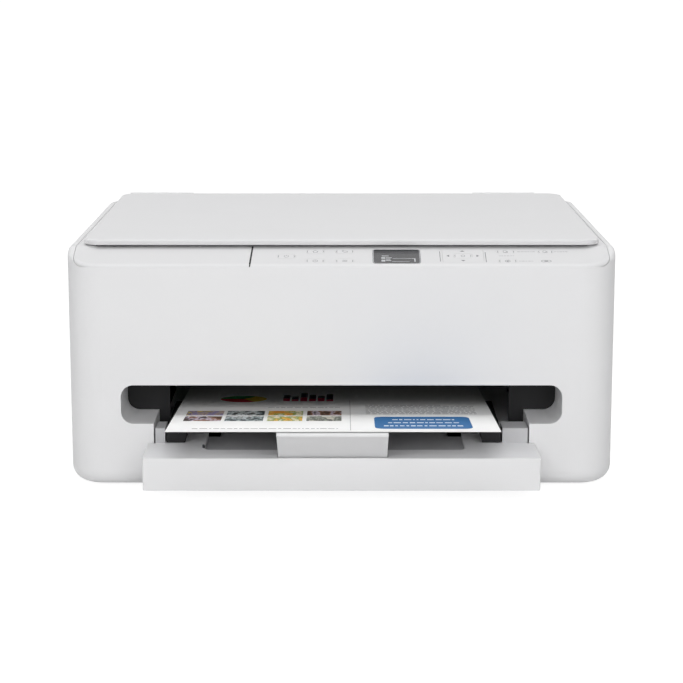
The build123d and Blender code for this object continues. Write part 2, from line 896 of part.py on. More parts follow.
def scan_bar():
    """The contact image sensor in its carrier, straddling the ridge under the glass."""
    ridge_y = (glass_front + glass_back) / 2
    top = bezel_bottom - glass_thickness - slide_gap
    left = scan_bar_left
    right = left + scan_bar_width
    bottom = unit_bottom + scanner_floor + 4 * slide_gap
    margin = scan_bar_margin
    bar = rounded_block(
        left, right, glass_front + margin, glass_back - margin, bottom + margin, top, scan_bar_corner
    )
    bar += block(left, right, ridge_y - scan_bar_saddle, ridge_y + scan_bar_saddle, bottom, top - margin)
    groove = ridge_half_width + slide_gap
    bar -= block(left - 1, right + 1, ridge_y - groove, ridge_y + groove, 0, ridge_top + slide_gap)
    lens_x = (left + right) / 2
    bar -= block(
        lens_x - scan_lens_half, lens_x + scan_lens_half, glass_front + scan_lens_margin,
        glass_back - scan_lens_margin, top - scan_lens_depth, top + 1,
    )
    return bar


def document_cover():
    """The lid, a little thicker towards the back, with an eyelid over each hinge and its barrel below."""
    plate = rounded_block(
        -cover_half_width, cover_half_width, cover_front, cover_back, cover_bottom, cover_top, cover_corner
    )
    front_top = cover_bottom + cover_front_thickness
    wedge = prism_x(
        [
            (cover_front, cover_bottom), (cover_back, cover_bottom), (cover_back, cover_top),
            (cover_front, front_top),
        ],
        -cover_half_width, cover_half_width,
    )
    plate = plate & wedge
    upper = cover_bottom + 3 * cover_front_thickness / 4
    plate = fillet(plate.edges().filter_by(lambda e: e.center().Z > upper), cover_edge_round)
    plate = fillet(plate.edges().group_by(Axis.Z)[0], cover_edge_round / 2)
    clear = cover_barrel_gap
    for x0, x1 in cover_hinge_spans:
        groove = rod_x(x0 - clear, x1 + clear, cover_axis_y, cover_axis_z, cover_barrel_radius + clear)
        eyelid = rod_x(x0 - clear, x1 + clear, cover_axis_y, cover_axis_z, cover_eyelid_radius) & block(
            x0 - clear, x1 + clear, cover_axis_y - cover_eyelid_radius, cover_axis_y + cover_eyelid_lap,
            cover_axis_z, cover_top + 1,
        )
        barrel_start = x0 + cover_ear_width + clear
        barrel_end = x1 - cover_ear_width - clear
        barrel = rod_x(barrel_start, barrel_end, cover_axis_y, cover_axis_z, cover_barrel_radius)
        web = block(
            barrel_start, barrel_end, cover_axis_y - cover_barrel_radius - cover_web_reach, cover_axis_y,
            cover_bottom, cover_bottom + cover_thickness / 2,
        )
        plate = (plate + eyelid - groove) + barrel + web
        plate -= rod_x(x0, x1, cover_axis_y, cover_axis_z, cover_pin_radius + running_gap)
    return plate


def document_pad():
    """The white foam backing that presses the document on the glass."""
    half = glass_half_width - glass_lap - pad_margin
    return rounded_block(
        -half, half, glass_front + glass_lap + pad_margin, glass_back - glass_lap - pad_margin,
        bezel_bottom + slide_gap, cover_bottom, pad_corner,
    )


# Paper tray

def cassette_tub():
    """The tray's lower box: floor, walls and a low back wall notched for the pickup roller."""
    half = tub_half_width
    tub = block(-half, half, tub_front, tub_back, tray_front_bottom, tray_plate_bottom)
    tub -= block(
        tub_wall - half, half - tub_wall, tub_front + tub_wall, tub_back - tub_wall, tub_floor, tray_top
    )
    tub -= block(
        -body_half, body_half, tray_cover_back + tub_step_margin, tub_back + 1, tub_back_height, tray_top
    )
    reach = pickup_roller_width + roller_notch_margin
    tub -= block(-reach, reach, tub_back - tub_wall - 1, tub_back + 1, tub_floor, tray_top)
    return tub


def tray_front():
    """The tray's front panel with its short side skirts and crisp edges."""
    half = tray_front_half_width
    panel = rounded_block(
        -half, half, tray_front_y, corner_radius, tray_front_bottom, tray_top, tray_front_corner
    )
    panel -= block(
        tray_skirt - half, half - tray_skirt, tub_front, corner_radius + 1, 0, tray_top + 1
    )
    panel &= block(-half, half, tray_front_y, -2 * slide_gap, 0, tray_top)
    rims = panel.edges().group_by(Axis.Y)[0]
    return fillet(rims.filter_by(Axis.X), tray_front_edge_round)


def flap_pocket():
    """The pocket in the tray cover that the output support folds into."""
    half = flap_width / 2 + flap_pocket_gap
    return block(
        flap_centre - half, flap_centre + half, tub_front, flap_pocket_back, flap_pocket_floor, tray_top + 1
    )


def tray_cover():
    """The tray's top: the output surface with its well, flap pocket and side blocks."""
    wide = tray_front_half_width - tray_skirt
    cover = block(-wide, wide, tub_front, -2 * slide_gap, tray_plate_bottom, tray_top)
    cover += block(
        -tray_cover_half_width, tray_cover_half_width, -2 * slide_gap, tray_cover_back,
        tray_plate_bottom, tray_top,
    )
    corner = output_well_corner
    cover -= rounded_block(
        output_well_left, output_well_right, output_well_front, tray_cover_back + 2 * corner,
        tray_top - output_well_depth, tray_top + 1, corner,
    )
    cover += block(
        output_well_left + corner, output_well_right - corner, tray_cover_back - sheet_rest_depth,
        tray_cover_back, tray_plate_bottom, sheet_top_at(tray_cover_back) - sheet_thickness - slide_gap,
    )
    pocket_half = flap_width / 2 + flap_pocket_gap + flap_pocket_wall
    box_bottom = flap_pocket_floor - flap_pocket_wall
    box = block(
        flap_centre - pocket_half, flap_centre + pocket_half, tub_front + tub_wall + slide_gap,
        flap_pocket_back + flap_pocket_wall, box_bottom, tray_plate_bottom,
    )
    cheek_half = pocket_half + flap_cheek
    cheeks = block(
        flap_centre - cheek_half, flap_centre + cheek_half, flap_axis_y - flap_cheek_half,
        flap_axis_y + flap_cheek_half, box_bottom, tray_plate_bottom,
    )
    cover = cover + box + cheeks - flap_pocket()
    cover -= rod_x(
        flap_centre - pocket_half - 1, flap_centre + pocket_half + 1,
        flap_axis_y, flap_axis_z, flap_pin_radius + running_gap,
    )
    block_top = tray_top + side_block_height
    for x0, x1 in (
        (-tray_cover_half_width, side_block_left_inner),
        (side_block_right_inner, tray_cover_half_width),
    ):
        cover += block(x0, x1, 2 * slide_gap, side_block_depth, tray_top, block_top)
    for side in (-1, 1):
        outer_x = paper_centre + side * (guide_face + guide_plate + slide_gap)
        inner_x = paper_centre + side * (guide_face - guide_travel - slide_gap)
        cover -= block(outer_x, inner_x, neck_front - slide_gap, neck_back + slide_gap, 0, tray_top + 1)
    return cover


def sheet_top_at(y):
    """Height of the sheet's upper face above the floor at a given depth."""
    return sheet_front_top - (y - sheet_front) * math.tan(math.radians(sheet_slope))


def paper_guide(side):
    """A side guide: a plate in the tub, a neck through the cover's slot, and a head above it."""
    face = paper_centre + side * guide_face
    back_face = paper_centre + side * (guide_face + guide_plate)
    bottom = tub_floor + touch_gap
    plate = block(face, back_face, guide_plate_front, guide_plate_back, bottom, tray_plate_bottom - slide_gap)
    foot_end = paper_centre + side * (guide_face - guide_foot_reach)
    plate += block(
        foot_end, back_face, guide_foot_front, guide_foot_back, bottom, bottom + guide_foot_thickness
    )
    neck = block(face, back_face, neck_front, neck_back, bottom, tray_top + 1)
    head_out = paper_centre + side * (paper_centre - guide_head_left)
    head_in = paper_centre + side * guide_head_inner
    head_in_foot = paper_centre + side * guide_head_inner_foot
    low = tray_top + slide_gap
    high = low + guide_head_height
    outline = [(head_in, high), (head_out, high), (head_out, low), (head_in_foot, low)]
    return plate + neck + prism_y(outline, 2 * slide_gap, guide_head_depth)


def output_support():
    """The flap that stands up to carry the sheet's front edge, with barrel, pins and rounded lip."""
    left = flap_centre - flap_width / 2
    right = flap_centre + flap_width / 2
    up = Vector(0, flap_sin, flap_cos)
    along = Vector(0, -flap_cos, flap_sin)
    base = Vector(0, flap_axis_y, flap_axis_z)
    half = flap_thickness / 2
    start = base + along * (flap_barrel_radius / 2)
    end = base + along * flap_length
    corners = [start + up * half, end + up * half, end - up * half, start - up * half]
    plate = prism_x([(c.Y, c.Z) for c in corners], left, right)
    lip = rod_x(left, right, end.Y, end.Z, flap_lip_radius)
    barrel = rod_x(left, right, flap_axis_y, flap_axis_z, flap_barrel_radius)
    reach = flap_pocket_gap + flap_pocket_wall
    pin = rod_x(left - reach, right + reach, flap_axis_y, flap_axis_z, flap_pin_radius)
    return plate + lip + barrel + pin


def printed_sheet():
    """One sheet of paper lying in the output tray, its front edge on the flap's lip."""
    slope = math.radians(sheet_slope)
    centre = Plane(
        origin=(paper_centre, sheet_front, sheet_front_top),
        x_dir=(1, 0, 0),
        z_dir=(0, math.sin(slope), math.cos(slope)),
    )
    middle = Pos(0, paper_length / 2, -sheet_thickness / 2)
    return centre * middle * Box(paper_width, paper_length, sheet_thickness)


# Print engine

def side_frames():
    """Two steel plates that carry the shafts, the rail and the top unit's hinge pins."""
    ear_low = hinge_z - 3 * hinge_ear_radius
    outline = [
        (frame_front, pan_top),
        (frame_back, pan_top),
        (frame_back, frame_top),
        (hinge_y + hinge_ear_radius, ear_low - frame_ear_step),
        (hinge_y + hinge_ear_radius, hinge_z),
        (hinge_y - hinge_ear_radius, hinge_z),
        (hinge_y - hinge_ear_radius, ear_low),
        (frame_riser_front, ear_low - frame_riser_step),
        (frame_riser_front, frame_top),
        (frame_ledge_front, frame_top),
        (frame_front, frame_nose_top),
    ]
    bores = [
        (hinge_y, hinge_z, hinge_pin_radius),
        (feed_y, feed_z, roller_shaft_radius),
        (eject_y, feed_z, roller_shaft_radius),
        (feed_y, pinch_z, pinch_shaft_radius),
        (shaft_y, shaft_z, shaft_radius),
        (pinion_y, pinion_z, pinion_hole_radius),
    ]
    plates = []
    for x0 in (-frame_outer, frame_inner):
        x1 = x0 + frame_thickness
        plate = prism_x(outline, x0, x1) + rod_x(x0, x1, hinge_y, hinge_z, hinge_ear_radius)
        for y, z, radius in bores:
            plate -= rod_x(x0 - 1, x1 + 1, y, z, radius + running_gap)
        plates.append(plate)
    stub_start = gear_outer_x - gear_side_gap
    plates[0] += rod_x(stub_start, -frame_outer, idler_y, idler_z, idler_bore_radius - running_gap)
    return plates


def carriage_rail():
    """The folded steel rail behind the carriage, with the belt motor's hole."""
    left = -frame_inner
    right = frame_inner
    back = rail_y + rail_sheet
    rail = block(left, right, rail_y, back, rail_bottom, rail_top)
    rail += block(left, right, rail_y - rail_top_flange, rail_y, rail_top - rail_sheet, rail_top)
    rail += block(left, right, rail_y - rail_bottom_flange, rail_y, rail_bottom, rail_bottom + rail_sheet)
    rail -= rod_y(-pulley_x, rail_y - 1, back + 1, pulley_z, pulley_axle_radius + 1)
    for x, z in logic_posts():
        rail += rod_y(x, back, logic_y, z, board_post_radius)
    return rail + rod_y(pulley_x, belt_front - 1, rail_y, pulley_z, pulley_axle_radius)


def logic_posts():
    """Where the logic board is fixed to the rail."""
    sides = (logic_left + board_post_inset, logic_right - board_post_inset)
    return [(x, z) for x in sides for z in (logic_bottom + board_post_rise, logic_top - board_post_inset)]


def guide_shaft():
    """The polished rod that the carriage runs on."""
    end = frame_outer + shaft_overhang
    return rod_x(-end, end, shaft_y, shaft_z, shaft_radius)


def timing_belt():
    """The closed belt round both pulleys."""
    inner = pulley_radius + slide_gap
    outer = inner + belt_thickness

    def loop(radius):
        outline = Pos(0, pulley_z, 0) * SlotCenterToCenter(2 * pulley_x, 2 * radius)
        return extrude(Plane.XZ.offset(-(belt_front + belt_width)) * outline, belt_width)

    return loop(outer) - loop(inner)


def carriage_motor():
    """The motor behind the rail that drives the belt."""
    start = rail_y + rail_sheet
    body = rod_y(-pulley_x, start, start + motor_length, pulley_z, motor_radius)
    body = fillet(body.edges().group_by(Axis.Y)[-1], motor_edge_round)
    return body - rod_y(-pulley_x, start - 1, start + motor_socket, pulley_z, pulley_axle_radius + running_gap)


def pulley(x, with_shaft):
    """A flanged belt pulley; the driven one carries the motor's shaft."""
    front = belt_front - slide_gap
    back = belt_front + belt_width
    wheel = rod_y(x, front, back, pulley_z, pulley_radius)
    for k in range(pulley_teeth):
        turn = math.radians(k * 360 / pulley_teeth)
        tooth_x = x + pulley_radius * math.cos(turn)
        tooth_z = pulley_z + pulley_radius * math.sin(turn)
        wheel -= rod_y(tooth_x, front, back + 1, tooth_z, pulley_tooth_radius)
    wheel += rod_y(x, belt_front - 1, front, pulley_z, pulley_radius + pulley_flange)
    if with_shaft:
        return wheel + rod_y(x, belt_front, rail_y + motor_socket - 1, pulley_z, pulley_axle_radius)
    return wheel - rod_y(x, 0, body_depth, pulley_z, pulley_axle_radius + running_gap)


def gear(teeth, y, z, phase):
    """A spur gear across x, one tooth pointing at the phase angle in the y-z plane."""
    pitch = gear_module * teeth / 2
    tip = pitch + gear_addendum * gear_module
    root = pitch - gear_dedendum * gear_module
    step = 360 / teeth
    flanks = (
        (-gear_root_share, root), (-gear_tip_share, tip), (gear_tip_share, tip), (gear_root_share, root)
    )
    points = []
    for k in range(teeth):
        for share, radius in flanks:
            turn = math.radians(phase + (k + share) * step)
            points.append((y + radius * math.cos(turn), z + radius * math.sin(turn)))
    return prism_x(points, gear_outer_x, gear_inner_x)


def meshing_phase(teeth, phase, other_teeth, direction):
    """The phase of a second gear whose gap takes the first gear's tooth, seen along direction."""
    lead = (phase - direction) % (360 / teeth)
    return direction + 180 - lead * teeth / other_teeth + 180 / other_teeth


def gear_phases():
    """Matching phases for the feed, idler, eject and pinion gears."""
    feed = 0.0
    to_idler = math.degrees(math.atan2(idler_z - feed_z, idler_y - feed_y))
    idler = meshing_phase(feed_teeth, feed, idler_teeth, to_idler)
    to_eject = math.degrees(math.atan2(feed_z - idler_z, eject_y - idler_y))
    eject = meshing_phase(idler_teeth, idler, feed_teeth, to_eject)
    pinion = meshing_phase(feed_teeth, feed, pinion_teeth, pinion_angle)
    return {"feed": feed, "idler": idler, "eject": eject, "pinion": pinion}


def sleeve_spans(gap):
    """Where the sleeves of a roller begin and end across the paper, drawn in by a gap at each end."""
    pitch = (paper_width - 2 * roller_margin) / roller_count
    start = paper_centre - paper_width / 2 + roller_margin
    return [(start + k * pitch + gap, start + (k + 1) * pitch - gap) for k in range(roller_count)]


def paper_roller(y, radius, phase):
    """A shaft with rubber sleeves in the paper's width and a gear at its left end."""
    roller = rod_x(gear_outer_x, frame_outer + shaft_overhang, y, feed_z, roller_shaft_radius)
    for left, right in sleeve_spans(feed_sleeve_gap):
        roller += rod_x(left, right, y, feed_z, radius)
    return roller + gear(feed_teeth, y, feed_z, phase)


def idler_gear():
    """The gear between the feed and eject rollers."""
    wheel = gear(idler_teeth, idler_y, idler_z, gear_phases()["idler"])
    return wheel - rod_x(-body_half, 0, idler_y, idler_z, idler_bore_radius)


def motor_pinion():
    """The feed motor's pinion with its shaft."""
    wheel = gear(pinion_teeth, pinion_y, pinion_z, gear_phases()["pinion"])
    shaft_end = -frame_inner + pinion_shaft_reach
    return wheel + rod_x(gear_outer_x, shaft_end, pinion_y, pinion_z, pinion_shaft_radius)


def feed_motor():
    """The motor that turns the rollers, on the left side frame."""
    left = -frame_inner
    body = rod_x(left, left + feed_motor_length, pinion_y, pinion_z, feed_motor_radius)
    body = fillet(body.edges().group_by(Axis.X)[-1], feed_motor_edge_round)
    socket_radius = pinion_shaft_radius + running_gap
    return body - rod_x(left - 1, left + motor_socket, pinion_y, pinion_z, socket_radius)


def pinch_rollers():
    """Small rollers over the feed roller, on one thin axle."""
    rollers = rod_x(-frame_outer, frame_outer, feed_y, pinch_z, pinch_shaft_radius)
    for left, right in sleeve_spans(pinch_sleeve_gap):
        rollers += rod_x(left, right, feed_y, pinch_z, pinch_radius)
    return rollers


def platen():
    """The beam under the print heads, with ribs that hold the paper level."""
    beam = block(-frame_inner, frame_inner, beam_front, beam_back, beam_bottom, beam_top)
    left = paper_centre - paper_width / 2 - platen_rib_margin
    pitch = (paper_width + 2 * platen_rib_margin) / platen_rib_count
    right_end = carriage_left - platen_station_gap
    for k in range(platen_rib_count + 1):
        x = left + k * pitch
        if x < right_end:
            beam += block(x - platen_rib_half, x + platen_rib_half, beam_front + 1, beam_back - 1,
                          beam_top, paper_level - slide_gap)
    return beam


def cap_station():
    """The parking station under the carriage: base, two rubber cups and a wiper blade."""
    front = nozzle_front - cap_wall
    back = nozzle_back + cap_wall
    top = nozzle_level - slide_gap
    station = block(carriage_left + station_inset, carriage_right + station_overhang, beam_front, beam_back,
                    beam_top, beam_top + station_floor)
    inner = nozzle_half_width - cap_wall
    for side in (-1, 1):
        x = carriage_centre_wall + side * (bay_width + carriage_wall) / 2
        cup = block(x - nozzle_half_width, x + nozzle_half_width, front, back, beam_top, top)
        cup -= block(x - inner, x + inner, nozzle_front, nozzle_back, beam_top + cap_floor, top + 1)
        station += cup
    wiper = carriage_left + wiper_inset
    return station + block(wiper, wiper + wiper_thickness, front, back, beam_top, top)


def print_carriage():
    """The open box that carries both cartridges along the shaft, with the belt's grip at its back."""
    left = carriage_left
    right = carriage_right
    back_wall = carriage_back - carriage_wall
    box = block(left, right, carriage_front, carriage_back, carriage_bottom, carriage_top)
    middle_wall = carriage_centre_wall - carriage_wall / 2
    for x in (middle_wall - bay_width, middle_wall + carriage_wall):
        box -= block(
            x, x + bay_width, carriage_front + carriage_wall, back_wall,
            carriage_bottom + carriage_wall, carriage_top + 1,
        )
        middle = x + bay_width / 2
        hole = nozzle_half_width + nozzle_hole_margin
        box -= block(
            middle - hole, middle + hole, nozzle_front - nozzle_hole_margin, nozzle_back + nozzle_hole_margin,
            0, carriage_bottom + carriage_wall + 1,
        )
    box -= block(
        left + 2 * carriage_wall, right - 2 * carriage_wall, carriage_front - 1,
        carriage_front + carriage_wall + 1, carriage_top - carriage_window, carriage_top + 1,
    )
    ear_front = lever_axis_y - lever_ear_half + slide_gap
    ear_back = lever_axis_y + lever_ear_half
    ear_bottom = carriage_top - lever_ear_root
    for x in (left, middle_wall, right - carriage_wall):
        box += block(x, x + carriage_wall, ear_front, ear_back, ear_bottom, lever_axis_z + lever_ear_half)
    box -= rod_x(left - 1, right + 1, lever_axis_y, lever_axis_z, lever_pin_radius + running_gap)
    sleeve = shaft_radius + shaft_sleeve_wall
    sleeve_back = shaft_y + sleeve - carriage_wall
    box += block(left, right, back_wall, sleeve_back, shaft_z - sleeve, shaft_z + sleeve)
    box -= rod_x(left - 1, right + 1, shaft_y, shaft_z, shaft_radius + running_gap)
    slider_left = left + slider_inset
    slider_right = right - slider_inset
    slider_top = rail_top - rail_sheet - slide_gap
    box += block(slider_left, slider_right, back_wall, sleeve_back, shaft_z + shaft_sleeve_wall + 1, slider_top)
    box += block(slider_left, slider_right, back_wall, rail_y - slider_rail_gap,
                 slider_top - slider_thickness, slider_top)
    grip_top = pulley_z - pulley_radius - belt_thickness - 2 * slide_gap
    box += block(left + grip_inset, right - grip_inset, back_wall, belt_front + belt_width + 1,
                 grip_top - grip_thickness, grip_top)
    return box


def cartridge(side):
    """A print cartridge: body, raised lid and the nozzle block under it."""
    middle = carriage_centre_wall + side * (bay_width + carriage_wall) / 2
    half = bay_width / 2 - cartridge_gap
    front = carriage_front + carriage_wall + cartridge_gap
    back = carriage_back - carriage_wall - cartridge_gap
    bottom = carriage_bottom + carriage_wall + touch_gap
    top = carriage_top - cartridge_drop
    step = cartridge_lid_step
    body = rounded_block(middle - half, middle + half, front, back, bottom, top, cartridge_corner)
    body += rounded_block(
        middle - half + step, middle + half - step, front + cartridge_nose, back - step, bottom, top + step,
        cartridge_corner,
    )
    body += block(middle - nozzle_half_width, middle + nozzle_half_width, nozzle_front, nozzle_back,
                  nozzle_level, bottom + 1)
    return body


def lock_lever(side):
    """A lever over one cartridge, on pins in the carriage's walls."""
    middle = carriage_centre_wall + side * (bay_width + carriage_wall) / 2
    half = bay_width / 2 - cartridge_gap
    arm_half = half - lever_arm_inset
    arm_bottom = lever_axis_z - lever_hub_radius
    tab_bottom = lever_axis_z + lever_tab_rise
    lever = rod_x(middle - half, middle + half, lever_axis_y, lever_axis_z, lever_hub_radius)
    lever += block(middle - arm_half, middle + arm_half, lever_axis_y, lever_axis_y + lever_arm,
                   arm_bottom, arm_bottom + lever_arm_thickness)
    lever += block(middle - lever_tab_half, middle + lever_tab_half, lever_axis_y - lever_tab, lever_axis_y,
                   tab_bottom, tab_bottom + lever_arm_thickness)
    pin_half = bay_width / 2 + lever_pin_reach
    return lever + rod_x(middle - pin_half, middle + pin_half, lever_axis_y, lever_axis_z, lever_pin_radius)


def turn_guide():
    """The inner drum-shaped guide that the paper turns round, with ears for the pickup arm.

    It is lightened by two pockets, open to the front, either side of the ears.
    """
    left = turn_guide_left
    right = frame_inner
    low = turn_z - turn_inner_radius
    guide = block(left, right, turn_block_front, turn_y, low, turn_z + turn_inner_radius)
    guide += rod_x(left, right, turn_y, turn_z, turn_inner_radius)
    guide &= block(left, right, turn_block_front, body_depth, 0, rim_height)
    inner = turn_inner_radius - turn_guide_wall
    first_ear = pickup_ears[0] - turn_guide_wall
    last_ear = pickup_ears[1] + pickup_ear_width + turn_guide_wall
    for x0, x1 in ((left + turn_guide_wall, first_ear), (last_ear, right - turn_guide_wall)):
        guide -= block(x0, x1, turn_block_front - 1, turn_y, turn_z - inner, turn_z + inner)
        guide -= rod_x(x0, x1, turn_y, turn_z, inner)
    guide += block(left, left + turn_guide_foot, turn_block_front, turn_y + turn_guide_foot_back,
                   pan_top, low + turn_guide_foot_lap)
    for x in pickup_ears:
        ear = block(x, x + pickup_ear_width, pickup_axis_y - pickup_ear_front, turn_block_front,
                    pickup_axis_z - pickup_ear_half, pickup_axis_z + pickup_ear_half)
        bore = rod_x(x - 1, x + pickup_ear_width + 1, pickup_axis_y, pickup_axis_z,
                     pickup_pin_radius + running_gap)
        guide += ear - bore
    return guide


def pickup_arm():
    """The arm that lets the pickup roller rest on the paper, with its pivot and the roller's axle."""
    near = pickup_ears[0] + pickup_ear_width + slide_gap
    far = pickup_ears[1] - slide_gap
    pin_reach = pickup_ear_width + slide_gap
    hub = rod_x(near, far, pickup_axis_y, pickup_axis_z, pickup_hub_radius)
    pins = rod_x(near - pin_reach, far + pin_reach, pickup_axis_y, pickup_axis_z, pickup_pin_radius)
    dy = pickup_axis_y - pickup_roller_y
    dz = pickup_axis_z - pickup_roller_z
    length = math.hypot(dy, dz)
    side_y = -dz / length * pickup_arm_half
    side_z = dy / length * pickup_arm_half
    points = [
        (pickup_axis_y + side_y, pickup_axis_z + side_z),
        (pickup_roller_y + side_y, pickup_roller_z + side_z),
        (pickup_roller_y - side_y, pickup_roller_z - side_z),
        (pickup_axis_y - side_y, pickup_axis_z - side_z),
    ]
    bar_left = far - pickup_arm_width
    bar = prism_x(points, bar_left, far)
    bar += rod_x(bar_left, far, pickup_roller_y, pickup_roller_z, pickup_arm_half)
    axle = rod_x(bar_left - pickup_roller_width - 1, far, pickup_roller_y, pickup_roller_z, pickup_pin_radius)
    return hub + pins + bar + axle


def pickup_roller():
    """The rubber roller that draws a sheet from the tray."""
    right = pickup_ears[1] - pickup_arm_width - 2 * slide_gap
    left = right - pickup_roller_width
    roller = rod_x(left, right, pickup_roller_y, pickup_roller_z, pickup_roller_radius)
    roller = chamfer(roller.edges(), pickup_roller_edge)
    bore_radius = pickup_pin_radius + running_gap
    return roller - rod_x(left - 1, right + 1, pickup_roller_y, pickup_roller_z, bore_radius)


def rear_cover():
    """The bulged cover at the back, with ribs that form the outer side of the paper's turn."""
    back = body_depth + rear_bulge
    front = body_depth - shell_wall
    outer = rear_opening(0, front, back)
    outer = fillet(outer.edges().group_by(Axis.Y)[-1], rear_cover_round)
    cover = outer - rear_opening(-rear_cover_wall, front - 1, back - rear_cover_wall)
    turn = rod_x(-body_half, body_half, turn_y, turn_z, turn_outer_radius)
    low = rear_cover_bottom + rear_cover_wall
    high = rear_cover_top - rear_cover_wall
    for k in range(rear_rib_count):
        x = rear_rib_left + k * rear_rib_pitch
        rib = block(x - rear_rib_half, x + rear_rib_half, turn_y + turn_outer_radius / 2,
                    back - rear_cover_wall, low, high)
        cover += rib - turn
    return cover


def power_supply():
    """The closed power supply at the left, under the feed motor."""
    supply = rounded_block(psu_left, inlet_right, psu_front, inlet_front, pan_top, psu_top, psu_corner)
    for k in range(vent_count):
        y = psu_front + vent_start + k * vent_pitch
        supply -= block(psu_left + vent_margin, inlet_right - vent_margin, y, y + vent_width,
                        psu_top - vent_depth, psu_top + 1)
    return supply


def ac_inlet():
    """The two-pole mains inlet, a figure-eight recess with two pins, open at the back."""
    face = body_depth + inlet_proud
    middle = (inlet_left + inlet_right) / 2
    level = (inlet_bottom + inlet_top) / 2
    floor = face - inlet_well_depth
    body = block(inlet_left, inlet_right, inlet_front, face, inlet_bottom, inlet_top)
    body -= rounded_front_block(
        middle - inlet_well_half, middle + inlet_well_half, floor, face + 1,
        level - inlet_well_radius, level + inlet_well_radius, inlet_well_radius - running_gap,
    )
    for side in (-1, 1):
        x = middle + side * inlet_pin_spread
        body += rod_y(x, floor, face - inlet_pin_setback, level, inlet_pin_radius)
    return body


def logic_board():
    """The main board on the rail, with its chips and the data socket that shows at the back."""
    face = logic_y + board_thickness
    board = block(logic_left, logic_right, logic_y, face, logic_bottom, logic_top)
    for x, z, width, height in chip_places:
        board += block(x, x + width, face, face + chip_thickness, z, z + height)
    for k in range(capacitor_count):
        x = capacitor_left + k * capacitor_pitch
        board += rod_y(x, face, face + capacitor_height, logic_bottom + board_post_rise, capacitor_radius)
    right = usb_left + usb_width
    top = usb_bottom + usb_height
    well_front = body_depth - usb_well_depth
    socket = block(usb_left, right, face, body_depth + usb_proud, usb_bottom, top)
    socket -= block(usb_left + usb_wall, right - usb_wall, well_front, body_depth + 1,
                    usb_bottom + usb_wall, top - usb_wall)
    middle = usb_left + usb_width / 2
    tongue_bottom = usb_bottom + usb_tongue_rise
    tongue = block(middle - usb_tongue_half, middle + usb_tongue_half, well_front - 1, body_depth - 1,
                   tongue_bottom, tongue_bottom + usb_tongue_height)
    return board + socket + tongue


def build():
    """Write every sub-part."""
    phases = gear_phases()
    save("base_pan", base_pan())
    save("outer_shell", outer_shell())
    save("case_screws", *case_screws())
    save("rubber_feet", *rubber_feet())
    save("slot_liner", slot_liner())
    save("operation_panel", operation_panel())
    save("panel_blank_cover", panel_blank_cover())
    save("display_window", display_window())
    save("panel_board", panel_board())
    for name in key_places:
        save(name, key_cap(name))
    save("scanner_housing", scanner_housing())
    save("scanner_bezel", scanner_bezel())
    save("hinge_pins", *hinge_pins())
    save("platen_glass", platen_glass())
    save("scan_bar", scan_bar())
    save("document_cover", document_cover())
    save("document_pad", document_pad())
    save("cassette_tub", cassette_tub())
    save("tray_front", tray_front())
    save("tray_cover", tray_cover())
    save("paper_guide_left", paper_guide(-1))
    save("paper_guide_right", paper_guide(1))
    save("output_support", output_support())
    save("printed_sheet", printed_sheet())
    save("side_frames", *side_frames())
    save("carriage_rail", carriage_rail())
    save("guide_shaft", guide_shaft())
    save("timing_belt", timing_belt())
    save("carriage_motor", carriage_motor())
    save("drive_pulley", pulley(-pulley_x, True))
    save("idler_pulley", pulley(pulley_x, False))
    save("feed_roller", paper_roller(feed_y, feed_radius, phases["feed"]))
    save("eject_roller", paper_roller(eject_y, eject_radius, phases["eject"]))
    save("idler_gear", idler_gear())
    save("motor_pinion", motor_pinion())
    save("feed_motor", feed_motor())
    save("pinch_rollers", pinch_rollers())
    save("platen", platen())
    save("cap_station", cap_station())
    save("print_carriage", print_carriage())
    save("cartridge_black", cartridge(-1))
    save("cartridge_colour", cartridge(1))
    save("lever_black", lock_lever(-1))
    save("lever_colour", lock_lever(1))
    save("turn_guide", turn_guide())
    save("pickup_arm", pickup_arm())
    save("pickup_roller", pickup_roller())
    save("rear_cover", rear_cover())
    save("power_supply", power_supply())
    save("ac_inlet", ac_inlet())
    save("logic_board", logic_board())


build()
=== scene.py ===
"""The looks of an inkjet multifunction printer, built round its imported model."""
import logging
import math
import random
from collections.abc import Callable, Iterable, Sequence
from dataclasses import dataclass, field
from enum import Enum

import bmesh
import bpy
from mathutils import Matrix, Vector


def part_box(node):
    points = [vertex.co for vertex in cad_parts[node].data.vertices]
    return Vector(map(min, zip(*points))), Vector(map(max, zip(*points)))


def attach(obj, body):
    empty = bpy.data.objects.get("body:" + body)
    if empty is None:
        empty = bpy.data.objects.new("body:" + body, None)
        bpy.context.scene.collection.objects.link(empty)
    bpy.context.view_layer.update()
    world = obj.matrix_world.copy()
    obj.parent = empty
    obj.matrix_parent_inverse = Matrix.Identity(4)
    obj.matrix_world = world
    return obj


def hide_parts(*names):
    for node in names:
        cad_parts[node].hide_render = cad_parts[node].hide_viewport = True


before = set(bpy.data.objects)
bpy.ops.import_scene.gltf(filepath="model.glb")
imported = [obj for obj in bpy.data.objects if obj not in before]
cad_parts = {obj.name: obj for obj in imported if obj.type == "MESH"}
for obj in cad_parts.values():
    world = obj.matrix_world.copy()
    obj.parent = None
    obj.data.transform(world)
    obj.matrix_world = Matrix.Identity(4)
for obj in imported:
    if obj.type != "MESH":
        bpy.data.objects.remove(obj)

LOG = logging.getLogger("printer")
MM = 0.001
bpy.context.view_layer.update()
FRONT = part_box("outer_shell")[0].y
NOISE_ENDS = (0.3, 0.7)
BEVEL_SEGMENTS = 2
SHARP_CORNER = math.radians(35.0)

Point2 = tuple[float, float]
Point3 = tuple[float, float, float]
Colour = tuple[float, float, float, float]
Socket = bpy.types.NodeSocket
Surface = Callable[[float, float, float], Vector]


